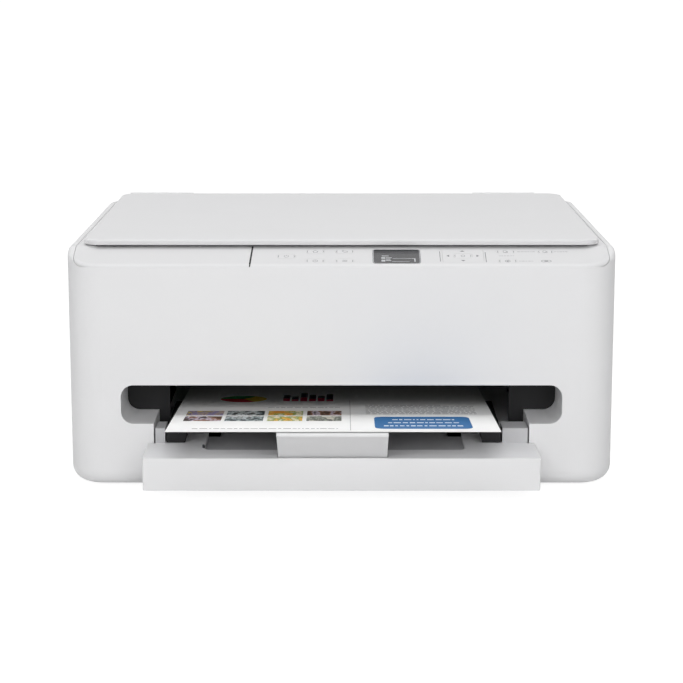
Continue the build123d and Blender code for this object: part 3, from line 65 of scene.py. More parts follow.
class Body(Enum):
    """The rigid bodies that pieces made here ride on."""

    BASE = "root"
    TOP_UNIT = "top_unit"
    COVER = "cover"
    TRAY = "tray"
    SHEET = "sheet"


class Symbol(Enum):
    """The plain symbols on the keys."""

    POWER = "power"
    HOME = "home"
    BACK = "back"
    INFO = "info"
    MENU = "menu"
    PAGES = "pages"
    STOP = "stop"
    DOT = "dot"


def at(x: float, back: float, up: float) -> Vector:
    """A place in millimetres: right of the middle, behind the front face, above the floor."""
    return Vector((x * MM, FRONT + back * MM, up * MM))


def tone(red: int, green: int, blue: int) -> Colour:
    """A colour given by its levels on a display, as the light that it stands for.

    Args:
        red: red level, 0 to 255.
        green: green level, 0 to 255.
        blue: blue level, 0 to 255.

    Returns:
        The linear colour with full opacity.
    """
    def linear(level: int) -> float:
        """One channel on the linear scale."""
        share = level / 255
        return share / 12.92 if share <= 0.04045 else ((share + 0.055) / 1.055) ** 2.4

    return linear(red), linear(green), linear(blue), 1.0


def scaled(colour: Sequence[float], share: float) -> Colour:
    """The same colour, lighter or darker by a share."""
    red, green, blue = (min(1.0, channel * share) for channel in colour[:3])
    return red, green, blue, 1.0


class Nodes:
    """An empty node tree, with short calls that add and join nodes."""

    def __init__(self, tree: bpy.types.NodeTree) -> None:
        """Clears the tree.

        Args:
            tree: the tree that the nodes are added to.
        """
        self.tree = tree
        self.tree.nodes.clear()

    def add(self, kind: str, **settings: object) -> bpy.types.Node:
        """Adds a node.

        Args:
            kind: the node's type.
            settings: its properties.

        Returns:
            The node.
        """
        node = self.tree.nodes.new(kind)
        for key, value in settings.items():
            setattr(node, key, value)
        return node

    def join(self, source: Socket, target: Socket) -> None:
        """Links two sockets."""
        self.tree.links.new(source, target)

    def feed(self, target: Socket, value: Socket | Sequence[float] | float) -> None:
        """Gives an input its value.

        Args:
            target: the input.
            value: a socket to link, or a plain value to set.
        """
        if isinstance(value, Socket):
            self.join(value, target)
        else:
            target.default_value = value

    def span(self, source: Socket, low: float, high: float, source_low: float = 0.0,
             source_high: float = 1.0) -> Socket:
        """A value brought from one range to another.

        Args:
            source: the value.
            low: the low end of the new range.
            high: the high end of the new range.
            source_low: the low end of the old range.
            source_high: the high end of the old range.

        Returns:
            The value in the new range.
        """
        node = self.add("ShaderNodeMapRange")
        ends = {"From Min": source_low, "From Max": source_high, "To Min": low, "To Max": high}
        for name, value in ends.items():
            node.inputs[name].default_value = value
        self.join(source, node.inputs["Value"])
        return node.outputs["Result"]


class Graph(Nodes):
    """A material's node tree, with short calls for the nodes that finishes share."""

    def __init__(self, name: str) -> None:
        """Starts a material with a plain shader.

        Args:
            name: the material's name.
        """
        self.material = bpy.data.materials.new(name)
        self.material.use_nodes = True
        super().__init__(self.material.node_tree)
        output = self.add("ShaderNodeOutputMaterial")
        self.shader = self.add("ShaderNodeBsdfPrincipled")
        self.join(self.shader.outputs["BSDF"], output.inputs["Surface"])
        self.place = self.add("ShaderNodeTexCoord").outputs["Object"]

    def mapped(self, **changes: Sequence[float]) -> Socket:
        """The place, changed.

        Args:
            changes: a Scale, Rotation or Location for the three axes.

        Returns:
            The changed place.
        """
        node = self.add("ShaderNodeMapping")
        for name, value in changes.items():
            node.inputs[name].default_value = value
        self.join(self.place, node.inputs["Vector"])
        return node.outputs["Vector"]

    def noise(self, grain: float, detail: float, source: Socket | None = None, rough: float = 0.5) -> Socket:
        """Soft noise.

        Args:
            grain: the size of one blotch, in metres.
            detail: how many finer layers it has.
            source: the vector it reads; the plain place if left out.
            rough: the strength of the finer layers.

        Returns:
            The noise value, around 0.5.
        """
        node = self.add("ShaderNodeTexNoise")
        node.inputs["Scale"].default_value = 1 / grain
        node.inputs["Detail"].default_value = detail
        node.inputs["Roughness"].default_value = rough
        self.join(source or self.place, node.inputs["Vector"])
        return node.outputs["Fac"]

    def cells(self, size: float, output: str = "Distance") -> Socket:
        """A pattern of cells.

        Args:
            size: the size of one cell, in metres.
            output: which of the pattern's outputs is read.

        Returns:
            That output.
        """
        node = self.add("ShaderNodeTexVoronoi")
        node.inputs["Scale"].default_value = 1 / size
        self.join(self.place, node.inputs["Vector"])
        return node.outputs[output]

    def ramp(self, source: Socket, stops: Sequence[tuple[float, Colour]]) -> Socket:
        """A colour for each value.

        Args:
            source: the value.
            stops: places from 0 to 1 with their colours.

        Returns:
            The colour.
        """
        node = self.add("ShaderNodeValToRGB")
        line = node.color_ramp
        while len(line.elements) > 1:
            line.elements.remove(line.elements[-1])
        line.elements[0].position, line.elements[0].color = stops[0][0], stops[0][1]
        for place, colour in stops[1:]:
            line.elements.new(place).color = colour
        self.join(source, node.inputs["Fac"])
        return node.outputs["Color"]

    def shades(self, noise: Socket, dark: Colour, light: Colour) -> Socket:
        """Two shades of one finish, spread by noise."""
        return self.ramp(noise, list(zip(NOISE_ENDS, (dark, light))))

    def spread(self, noise: Socket, low: float, high: float) -> Socket:
        """Noise brought to a range, which its usual values fill."""
        return self.span(noise, low, high, *NOISE_ENDS)

    def sum(self, kind: str, first: Socket | float, second: Socket | float) -> Socket:
        """Arithmetic on two values.

        Args:
            kind: such as ADD, MULTIPLY, LESS_THAN or GREATER_THAN.
            first: the first value.
            second: the second value.

        Returns:
            What it comes to.
        """
        node = self.add("ShaderNodeMath", operation=kind)
        for socket, value in zip(node.inputs, (first, second)):
            self.feed(socket, value)
        return node.outputs[0]

    def grey(self, level: Socket) -> Socket:
        """A grey colour.

        Args:
            level: how light it is, 0 to 1.

        Returns:
            The colour.
        """
        node = self.add("ShaderNodeCombineColor")
        for channel in range(3):
            self.join(level, node.inputs[channel])
        return node.outputs[0]

    def axes(self) -> tuple[Socket, Socket, Socket]:
        """Splits the place into its coordinates.

        Returns:
            Its x, y and z.
        """
        node = self.add("ShaderNodeSeparateXYZ")
        self.join(self.place, node.inputs[0])
        return node.outputs[0], node.outputs[1], node.outputs[2]

    def blend(self, share: Socket | float, first: Socket | Colour, second: Socket | Colour,
              kind: str = "MIX") -> Socket:
        """Mixes two colours.

        Args:
            share: how much of the second shows, 0 to 1.
            first: the first colour.
            second: the second colour.
            kind: how they are mixed, such as MIX or MULTIPLY.

        Returns:
            The mixed colour.
        """
        node = self.add("ShaderNodeMix", data_type="RGBA", blend_type=kind)
        share_in, first_in, second_in = node.inputs[0], node.inputs[6], node.inputs[7]
        for socket, value in ((share_in, share), (first_in, first), (second_in, second)):
            self.feed(socket, value)
        return node.outputs[2]

    def relief(self, height: Socket, depth: float, strength: float, under: Socket | None = None) -> Socket:
        """A bumped normal.

        Args:
            height: the height value, 0 to 1.
            depth: what a height of 1 measures, in metres.
            strength: how much of the bump shows.
            under: the normal that the bump is added to.

        Returns:
            The normal.
        """
        node = self.add("ShaderNodeBump")
        node.inputs["Strength"].default_value = strength
        node.inputs["Distance"].default_value = depth
        self.join(height, node.inputs["Height"])
        if under is not None:
            self.join(under, node.inputs["Normal"])
        return node.outputs["Normal"]

    def finish(self, colour: Socket | Colour, rough: Socket | float, normal: Socket | None = None,
               **fixed: float) -> bpy.types.Material:
        """Feeds the shader and returns the material.

        Args:
            colour: base colour.
            rough: roughness.
            normal: bumped normal, if any.
            fixed: uniform values of other shader inputs, with underscores for spaces.

        Returns:
            The material.
        """
        for name, value in (("Base Color", colour), ("Roughness", rough)):
            self.feed(self.shader.inputs[name], value)
        if normal is not None:
            self.join(normal, self.shader.inputs["Normal"])
        for key, value in fixed.items():
            self.shader.inputs[key.replace("_", " ")].default_value = value
        return self.material


@dataclass(frozen=True)
class MouldedPlastic:
    """Injection-moulded plastic with a fine eroded grain and faint flow mottling."""

    name: str
    colour: Colour
    rough: float = 0.5
    grain: float = 0.35 * MM
    grain_depth: float = 0.012 * MM
    mottle: float = 0.02
    specular: float = 0.4

    def material(self) -> bpy.types.Material:
        """Builds the material.

        Returns:
            The material.
        """
        graph = Graph(self.name)
        flow = graph.noise(38 * MM, 4)
        fine = graph.noise(self.grain, 3, rough=0.6)
        body = graph.blend(flow, scaled(self.colour, 1 - self.mottle), scaled(self.colour, 1 + self.mottle))
        specks = graph.spread(fine, 1 - self.mottle, 1 + self.mottle)
        colour = graph.blend(1.0, body, graph.grey(specks), "MULTIPLY")
        wear = graph.noise(9 * MM, 3)
        uneven = graph.sum("ADD", graph.spread(fine, -0.05, 0.05), graph.spread(wear, -0.03, 0.03))
        rough = graph.sum("ADD", uneven, self.rough)
        normal = graph.relief(fine, self.grain_depth, 0.6)
        normal = graph.relief(flow, 0.05 * MM, 0.12, normal)
        return graph.finish(colour, rough, normal, Specular_IOR_Level=self.specular)


@dataclass(frozen=True)
class SheetSteel:
    """Zinc-plated or drawn steel with rolling lines and a faint spangle."""

    name: str
    colour: Colour
    rough: float = 0.35
    along: Point3 = (0.04, 1.0, 1.0)
    line: float = 0.5 * MM
    spangle: float = 0.05

    def material(self) -> bpy.types.Material:
        """Builds the material.

        Returns:
            The material.
        """
        graph = Graph(self.name)
        lines = graph.noise(self.line, 4, graph.mapped(Scale=self.along), 0.7)
        flakes = graph.cells(3.5 * MM, output="Color")
        split = graph.add("ShaderNodeSeparateColor")
        graph.join(flakes, split.inputs[0])
        tint = graph.span(split.outputs[0], 1 - self.spangle, 1.0)
        lined = graph.blend(lines, scaled(self.colour, 0.9), scaled(self.colour, 1.08))
        colour = graph.blend(1.0, lined, graph.grey(tint), "MULTIPLY")
        rough = graph.spread(lines, self.rough - 0.1, self.rough + 0.12)
        return graph.finish(colour, rough, graph.relief(lines, 0.01 * MM, 0.5), Metallic=1.0)


@dataclass(frozen=True)
class Rubber:
    """Matt rubber with a ground surface and dust in it."""

    name: str
    colour: Colour

    def material(self) -> bpy.types.Material:
        """Builds the material.

        Returns:
            The material.
        """
        graph = Graph(self.name)
        fine = graph.noise(0.25 * MM, 4, rough=0.7)
        dust = graph.noise(6 * MM, 5)
        colour = graph.blend(graph.span(dust, 0, 0.3, 0.5, 0.8), self.colour, scaled(self.colour, 2.2))
        rough = graph.spread(fine, 0.72, 0.92)
        return graph.finish(colour, rough, graph.relief(fine, 0.03 * MM, 0.7), Specular_IOR_Level=0.3)


@dataclass(frozen=True)
class TurnedPart:
    """A shaft with rubber sleeves and a moulded gear, told apart by radius and by side."""

    name: str
    middle: Point2
    sleeve_from: float
    gear_left_of: float

    def material(self) -> bpy.types.Material:
        """Builds the material.

        Returns:
            The material.
        """
        graph = Graph(self.name)
        x, y, z = graph.axes()
        off_y = graph.sum("SUBTRACT", y, self.middle[0])
        off_z = graph.sum("SUBTRACT", z, self.middle[1])
        square = graph.sum("ADD", graph.sum("MULTIPLY", off_y, off_y), graph.sum("MULTIPLY", off_z, off_z))
        sleeve = graph.sum("GREATER_THAN", square, self.sleeve_from ** 2)
        gear = graph.sum("LESS_THAN", x, self.gear_left_of)
        fine = graph.noise(0.3 * MM, 3)
        lines = graph.noise(0.6 * MM, 3, graph.mapped(Scale=(0.1, 1, 1)))
        steel = graph.shades(lines, tone(150, 151, 154), tone(196, 197, 200))
        black = graph.shades(fine, tone(32, 32, 33), tone(48, 48, 49))
        white = graph.shades(fine, tone(222, 221, 214), tone(232, 231, 225))
        colour = graph.blend(gear, graph.blend(sleeve, steel, black), white)
        soft = graph.sum("MAXIMUM", sleeve, gear)
        metal = graph.sum("SUBTRACT", 1.0, soft)
        rough = graph.sum("ADD", graph.span(soft, 0.28, 0.62), graph.spread(fine, -0.06, 0.06))
        graph.join(metal, graph.shader.inputs["Metallic"])
        return graph.finish(colour, rough, graph.relief(fine, 0.02 * MM, 0.5))


@dataclass(frozen=True)
class CircuitBoard:
    """Green solder mask over traces, with tinned pads and dark parts standing on it."""

    name: str
    face: Callable[[Graph], Socket]
    mask: Colour = tone(22, 92, 54)

    def material(self) -> bpy.types.Material:
        """Builds the material.

        Returns:
            The material.
        """
        graph = Graph(self.name)
        lanes = graph.add("ShaderNodeTexBrick", offset=0.37, offset_frequency=3)
        lanes.inputs["Scale"].default_value = 1 / (26 * MM)
        lanes.inputs["Mortar Size"].default_value = 0.012
        lanes.inputs["Color1"].default_value = scaled(self.mask, 0.9)
        lanes.inputs["Color2"].default_value = self.mask
        lanes.inputs["Mortar"].default_value = scaled(self.mask, 1.9)
        graph.join(graph.mapped(Rotation=(math.radians(90), 0, 0)), lanes.inputs["Vector"])
        dots = graph.cells(3.1 * MM)
        pad = graph.sum("LESS_THAN", dots, 0.17)
        board = graph.blend(pad, lanes.outputs["Color"], tone(196, 190, 170))
        fine = graph.noise(0.4 * MM, 3)
        part = graph.shades(fine, tone(26, 26, 28), tone(42, 42, 45))
        raised = self.face(graph)
        colour = graph.blend(raised, board, part)
        rough = graph.span(raised, 0.3, 0.55)
        return graph.finish(colour, rough, graph.relief(lanes.outputs["Fac"], 0.03 * MM, 0.4))


@dataclass(frozen=True)
class Glazing:
    """Clear glass with a green cast."""

    name: str
    colour: Colour = tone(226, 240, 236)

    def material(self) -> bpy.types.Material:
        """Builds the material.

        Returns:
            The material.
        """
        graph = Graph(self.name)
        dust = graph.noise(2.5 * MM, 5)
        rough = graph.span(dust, 0.0, 0.05, 0.55, 0.8)
        colour = graph.blend(graph.spread(dust, 0, 1), self.colour, scaled(self.colour, 1.04))
        return graph.finish(colour, rough, None, Transmission_Weight=1.0, IOR=1.52)


@dataclass(frozen=True)
class SmokedWindow:
    """The display's glossy dark window, lighter where its light shines through."""

    name: str
    colour: Colour

    def material(self) -> bpy.types.Material:
        """Builds the material.

        Returns:
            The material.
        """
        graph = Graph(self.name)
        glow = graph.noise(14 * MM, 1)
        fine = graph.noise(0.2 * MM, 2)
        colour = graph.blend(glow, scaled(self.colour, 0.86), scaled(self.colour, 1.14))
        rough = graph.spread(fine, 0.16, 0.26)
        return graph.finish(colour, rough, graph.relief(fine, 0.002 * MM, 0.3), Specular_IOR_Level=0.5,
                            Coat_Weight=0.3, Coat_Roughness=0.06)


@dataclass(frozen=True)
class Paper:
    """Plain paper: fibres, cloudy formation and a soft surface."""

    name: str
    colour: Colour

    def material(self) -> bpy.types.Material:
        """Builds the material.

        Returns:
            The material.
        """
        graph = Graph(self.name)
        cloud = graph.noise(5 * MM, 4)
        fibre = graph.noise(0.18 * MM, 4, graph.mapped(Scale=(1, 0.35, 1)), 0.7)
        colour = graph.blend(graph.spread(cloud, 0, 1), scaled(self.colour, 0.985), self.colour)
        rough = graph.spread(fibre, 0.7, 0.85)
        return graph.finish(colour, rough, graph.relief(fibre, 0.01 * MM, 0.5), Specular_IOR_Level=0.3)


@dataclass(frozen=True)
class Ink:
    """Printed or pad-printed ink, slightly uneven."""

    name: str
    colour: Colour
    rough: float = 0.6

    def material(self) -> bpy.types.Material:
        """Builds the material.

        Returns:
            The material.
        """
        graph = Graph(self.name)
        dots = graph.noise(0.22 * MM, 3, rough=0.7)
        share = graph.span(dots, 0, 1, 0.35, 0.65)
        colour = graph.blend(share, scaled(self.colour, 0.9), scaled(self.colour, 1.1))
        rough = graph.spread(dots, self.rough - 0.08, self.rough + 0.08)
        return graph.finish(colour, rough, graph.relief(dots, 0.004 * MM, 0.4), Specular_IOR_Level=0.3)


@dataclass(frozen=True)
class PictureInk:
    """A made-up picture: soft bands and blots of a few colours."""

    name: str
    colours: tuple[Colour, ...]
    shift: float
    blot: float = 8 * MM
    ends: Point2 = (0.4, 0.6)

    def material(self) -> bpy.types.Material:
        """Builds the material.

        Returns:
            The material.
        """
        graph = Graph(self.name)
        moved = graph.mapped(Location=(self.shift, self.shift, 0), Scale=(1.0, 0.45, 1.0))
        blots = graph.noise(self.blot, 3, moved, 0.6)
        first, last = self.ends
        gap = (last - first) / (len(self.colours) - 1)
        stops = [(first + k * gap, colour) for k, colour in enumerate(self.colours)]
        fine = graph.noise(0.25 * MM, 2)
        rough = graph.spread(fine, 0.5, 0.65)
        return graph.finish(graph.ramp(blots, stops), rough, graph.relief(fine, 0.004 * MM, 0.3))


@dataclass(frozen=True)
class Foam:
    """White closed-cell foam under the document cover."""

    name: str
    colour: Colour

    def material(self) -> bpy.types.Material:
        """Builds the material.

        Returns:
            The material.
        """
        graph = Graph(self.name)
        cell = graph.cells(0.9 * MM)
        cloud = graph.noise(30 * MM, 3)
        colour = graph.blend(cloud, scaled(self.colour, 0.97), self.colour)
        rough = graph.span(cell, 0.75, 0.95)
        return graph.finish(colour, rough, graph.relief(cell, 0.08 * MM, 0.6), Sheen_Weight=0.15,
                            Specular_IOR_Level=0.25)


class Finishes:
    """Every finish of the printer, made once and shared by its pieces."""

    def __init__(self) -> None:
        """Builds the materials."""
        self.casing = self.plastic("casing_white", tone(226, 226, 227), 0.48, mottle=0.008)
        self.panel = self.plastic("panel_white", tone(219, 219, 220), 0.42, 0.28 * MM, 0.008 * MM, 0.006)
        self.cover = self.plastic("cover_white", tone(232, 232, 233), 0.64, 0.5 * MM, 0.02 * MM, 0.008, 0.2)
        # the cover's plastic a shade darker: painted shade for the cover's forward-facing faces
        self.cover_front_shade = self.plastic("cover_front_painted_shade", tone(212, 212, 213), 0.5, 0.4 * MM, mottle=0.008)
        self.tray = self.plastic("tray_grey", tone(226, 226, 228), 0.5, 0.4 * MM, mottle=0.012)
        self.block = self.plastic("block_grey", tone(192, 192, 194), 0.5, 0.4 * MM, mottle=0.015)
        # the tray's grey darker: painted shade for the floor of the output well
        self.well_shade = self.plastic("well_painted_shade", tone(184, 184, 187), 0.6, 0.3 * MM, mottle=0.02)
        self.dark = self.plastic("dark_grey_plastic", tone(52, 52, 55), 0.5, mottle=0.05)
        self.black = self.plastic("black_plastic", tone(22, 22, 24), 0.5, 0.3 * MM, 0.02 * MM, 0.06, 0.25)
        self.gear = self.plastic("acetal_white", tone(228, 227, 221), 0.4, mottle=0.015)
        self.lever = self.plastic("lever_grey", tone(176, 177, 181), 0.45, mottle=0.02)
        self.steel = self.metal("zinc_plated_steel", tone(184, 186, 190))
        self.rod = self.metal("ground_steel", tone(210, 211, 214), 0.16, (0.03, 1, 1), 0.25 * MM, 0.01)
        self.motor = self.metal("motor_can", tone(160, 161, 166), 0.3, (1, 0.05, 1), 0.4 * MM, 0.03)
        self.screw = self.metal("screw_steel", tone(120, 121, 125), 0.34, (1, 1, 1), 0.3 * MM, 0.04)
        self.rubber = Rubber("black_rubber", tone(36, 36, 37)).material()
        self.glass = Glazing("platen_glass_clear").material()
        self.window = SmokedWindow("display_smoked", tone(52, 52, 55)).material()
        self.paper = Paper("plain_paper", tone(248, 248, 247)).material()
        self.foam = Foam("backing_foam", tone(242, 242, 240)).material()

    def plastic(self, *sizes: object, **named: object) -> bpy.types.Material:
        """A moulded plastic, with the values of MouldedPlastic."""
        return MouldedPlastic(*sizes, **named).material()

    def metal(self, *sizes: object) -> bpy.types.Material:
        """A steel, with the values of SheetSteel."""
        return SheetSteel(*sizes).material()


FINISH = Finishes()


def placed(name: str, data: bpy.types.ID) -> bpy.types.Object:
    """Makes an object from its data and puts it in the scene.

    Args:
        name: the object's name.
        data: its mesh, lamp or camera.

    Returns:
        The object.
    """
    made = bpy.data.objects.new(name, data)
    bpy.context.scene.collection.objects.link(made)
    return made


def soften(piece: bpy.types.Object, edge: float) -> None:
    """Rounds the hard edges of a piece with modifiers, so that they catch the light.

    Args:
        piece: the piece, whose own mesh stays as it is.
        edge: the width of the rounding, in metres.
    """
    weld = piece.modifiers.new("weld", "WELD")
    weld.merge_threshold = 0.001 * MM
    bevel = piece.modifiers.new("soft_edges", "BEVEL")
    bevel.width = edge
    bevel.segments = BEVEL_SEGMENTS
    bevel.limit_method = "ANGLE"
    bevel.angle_limit = SHARP_CORNER
    bevel.use_clamp_overlap = True
    bevel.miter_outer = "MITER_ARC"
    bevel.harden_normals = False
    normals = piece.modifiers.new("even_shading", "WEIGHTED_NORMAL")
    normals.keep_sharp = True
    normals.weight = 50


def dress(names: Iterable[str], material: bpy.types.Material, edge: float) -> None:
    """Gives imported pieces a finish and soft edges.

    Args:
        names: the pieces' node names.
        material: their finish.
        edge: the rounding of their edges, in millimetres.
    """
    for name in names:
        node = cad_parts[name]
        node.data.materials.clear()
        node.data.materials.append(material)
        soften(node, edge * MM)
        LOG.info("dressed %s in %s", name, material.name)


def keep_crisp(name: str, low: float, high: float) -> None:
    """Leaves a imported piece's edges between two heights as they are, so that a tight joint stays tight.

    Args:
        name: the piece's node name.
        low: the lower height, in millimetres.
        high: the upper height, in millimetres.
    """
    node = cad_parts[name]
    group = node.vertex_groups.new(name="crisp")
    inside = [corner.index for corner in node.data.vertices if low * MM < corner.co.z < high * MM]
    group.add(inside, 1.0, "REPLACE")
    bevel = node.modifiers["soft_edges"]
    bevel.vertex_group = group.name
    bevel.invert_vertex_group = True


def dress_zone(name: str, material: bpy.types.Material,
               inside: Callable[[bpy.types.MeshPolygon], bool]) -> None:
    """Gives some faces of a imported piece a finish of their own.

    Args:
        name: the piece's node name.
        material: the finish.
        inside: whether a face gets it.
    """
    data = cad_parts[name].data
    data.materials.append(material)
    for polygon in data.polygons:
        if inside(polygon):
            polygon.material_index = len(data.materials) - 1


def arc(middle: Point2, radius: float, start: float, end: float, steps: int = 8) -> list[Point2]:
    """Points along an arc.

    Args:
        middle: its centre.
        radius: its radius.
        start: the first angle, in degrees.
        end: the last angle, in degrees.
        steps: how many stretches it has.

    Returns:
        The points, from start to end.
    """
    turns = [math.radians(start + (end - start) * k / steps) for k in range(steps + 1)]
    return [(middle[0] + radius * math.cos(t), middle[1] + radius * math.sin(t)) for t in turns]


def rounded(middle: Point2, width: float, height: float, radius: float, steps: int = 4) -> list[Point2]:
    """The outline of a rounded rectangle, counter-clockwise.

    Args:
        middle: its middle.
        width: its width.
        height: its height.
        radius: the radius of its corners.
        steps: how many stretches each corner has.

    Returns:
        Its points.
    """
    points: list[Point2] = []
    for turn, (side_x, side_y) in enumerate(((1, 1), (-1, 1), (-1, -1), (1, -1))):
        corner = (middle[0] + side_x * (width / 2 - radius), middle[1] + side_y * (height / 2 - radius))
        points += arc(corner, radius, 90 * turn, 90 * turn + 90, steps)
    return points


class Draft:
    """A mesh in the making."""

    def __init__(self) -> None:
        """Starts with an empty mesh."""
        self.mesh = bmesh.new()

    def ring(self, points: Iterable[Vector]) -> list[bmesh.types.BMVert]:
        """Adds points and returns their vertices."""
        return [self.mesh.verts.new(p) for p in points]

    def bridge(self, first: Sequence[bmesh.types.BMVert], second: Sequence[bmesh.types.BMVert],
               closed: bool = True) -> None:
        """Joins two rows of the same length with four-sided faces.

        Args:
            first: the first row.
            second: the second row.
            closed: whether each row's end is joined to its start.
        """
        count = len(first)
        for k in range(count if closed else count - 1):
            nxt = (k + 1) % count
            self.mesh.faces.new((first[k], first[nxt], second[nxt], second[k]))

    def cap(self, ring: Sequence[bmesh.types.BMVert], flip: bool = False) -> None:
        """Closes a ring with one face."""
        self.mesh.faces.new(list(reversed(ring)) if flip else list(ring))

    def slab(self, low: Sequence[Vector], high: Sequence[Vector]) -> None:
        """Adds a closed plate between two outlines.

        Args:
            low: the outline of its underside.
            high: the outline of its upper side, of the same length.
        """
        bottom, top = self.ring(low), self.ring(high)
        self.bridge(bottom, top)
        self.cap(bottom, flip=True)
        self.cap(top)

    def stack(self, rings: Sequence[Sequence[bmesh.types.BMVert]]) -> None:
        """Joins rings one on the other and closes both ends.

        Args:
            rings: the rings, from the first end to the last.
        """
        for first, second in zip(rings, rings[1:]):
            self.bridge(first, second)
        self.cap(rings[0], flip=True)
        self.cap(rings[-1])

    def pin(self, foot: Vector, top: Vector, radius: float, sides: int) -> None:
        """Adds an upright round pin.

        Args:
            foot: the middle of its lower end.
            top: the middle of its upper end.
            radius: its radius, in metres.
            sides: how many faces go round it.
        """
        along = (top - foot).normalized()
        across = along.cross(Vector((1, 0, 0))).normalized()
        up = across.cross(along)
        turns = [2 * math.pi * n / sides for n in range(sides)]
        self.stack([self.ring(end + (across * math.cos(t) + up * math.sin(t)) * radius for t in turns)
                    for end in (foot, top)])

    def piece(self, name: str, body: Body | str, material: bpy.types.Material, slot: str,
              edge: float = 0.0) -> bpy.types.Object:
        """Turns the draft into a piece of the printer.

        Args:
            name: the piece's name.
            body: the body that it rides on.
            material: its finish.
            slot: not used.
            edge: the rounding of its hard edges, in millimetres.

        Returns:
            The piece.
        """
        bmesh.ops.recalc_face_normals(self.mesh, faces=self.mesh.faces)
        data = bpy.data.meshes.new(name)
        self.mesh.to_mesh(data)
        self.mesh.free()
        data.materials.append(material)
        made = placed(name, data)
        if edge > 0:
            soften(made, edge * MM)
        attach(made, body.value if isinstance(body, Body) else body)
        LOG.info("made %s with %d faces", name, len(data.polygons))
        return made


class FlatArt(Draft):
    """Thin shapes that lie on a surface, such as print and moulded marks."""

    def __init__(self, surface: Surface, thickness: float, lift: float = 0.0) -> None:
        """Starts an empty drawing.

        Args:
            surface: gives the place for x, y and a height over the surface, all in millimetres.
            thickness: how thick the shapes are, in millimetres.
            lift: how high over the surface they start, in millimetres.
        """
        super().__init__()
        self.surface = surface
        self.thickness = thickness
        self.lift = lift

    def filled(self, outline: Sequence[Point2]) -> None:
        """Adds a filled shape.

        Args:
            outline: its outline on the surface, in millimetres.
        """
        low = [self.surface(x, y, self.lift) for x, y in outline]
        high = [self.surface(x, y, self.lift + self.thickness) for x, y in outline]
        self.slab(low, high)

    def bar(self, x: float, y: float, width: float, height: float) -> None:
        """Adds a rectangle.

        Args:
            x: the middle across.
            y: the middle along.
            width: its width, in millimetres.
            height: its height, in millimetres.
        """
        half_x, half_y = width / 2, height / 2
        self.filled([(x - half_x, y - half_y), (x + half_x, y - half_y),
                     (x + half_x, y + half_y), (x - half_x, y + half_y)])

    def line(self, path: Sequence[Point2], width: float, closed: bool = False) -> None:
        """Adds a stroke along a path.

        Args:
            path: its middle line.
            width: its width, in millimetres.
            closed: whether it ends where it starts.
        """
        count = len(path)
        rows: list[list[bmesh.types.BMVert]] = []
        for k, (x, y) in enumerate(path):
            before = path[k - 1] if closed or k > 0 else path[k]
            after = path[(k + 1) % count] if closed or k < count - 1 else path[k]
            along = Vector((after[0] - before[0], after[1] - before[1])).normalized() * (width / 2)
            sides = ((x - along.y, y + along.x), (x + along.y, y - along.x))
            rows.append(self.ring(
                [self.surface(*sides[0], self.lift), self.surface(*sides[1], self.lift),
                 self.surface(*sides[1], self.lift + self.thickness),
                 self.surface(*sides[0], self.lift + self.thickness)]))
        for k in range(count if closed else count - 1):
            self.bridge(rows[k], rows[(k + 1) % count])
        if not closed:
            self.cap(rows[0], flip=True)
            self.cap(rows[-1])


@dataclass(frozen=True)
class Key:
    """One key of the panel, in millimetres.

    Its middle lies at x and at a distance down from the panel's crease. The caption has two ends in x.
    """

    name: str
    x: float
    down: float
    half_gap: float
    symbol: Symbol
    caption: Point2 | None = None


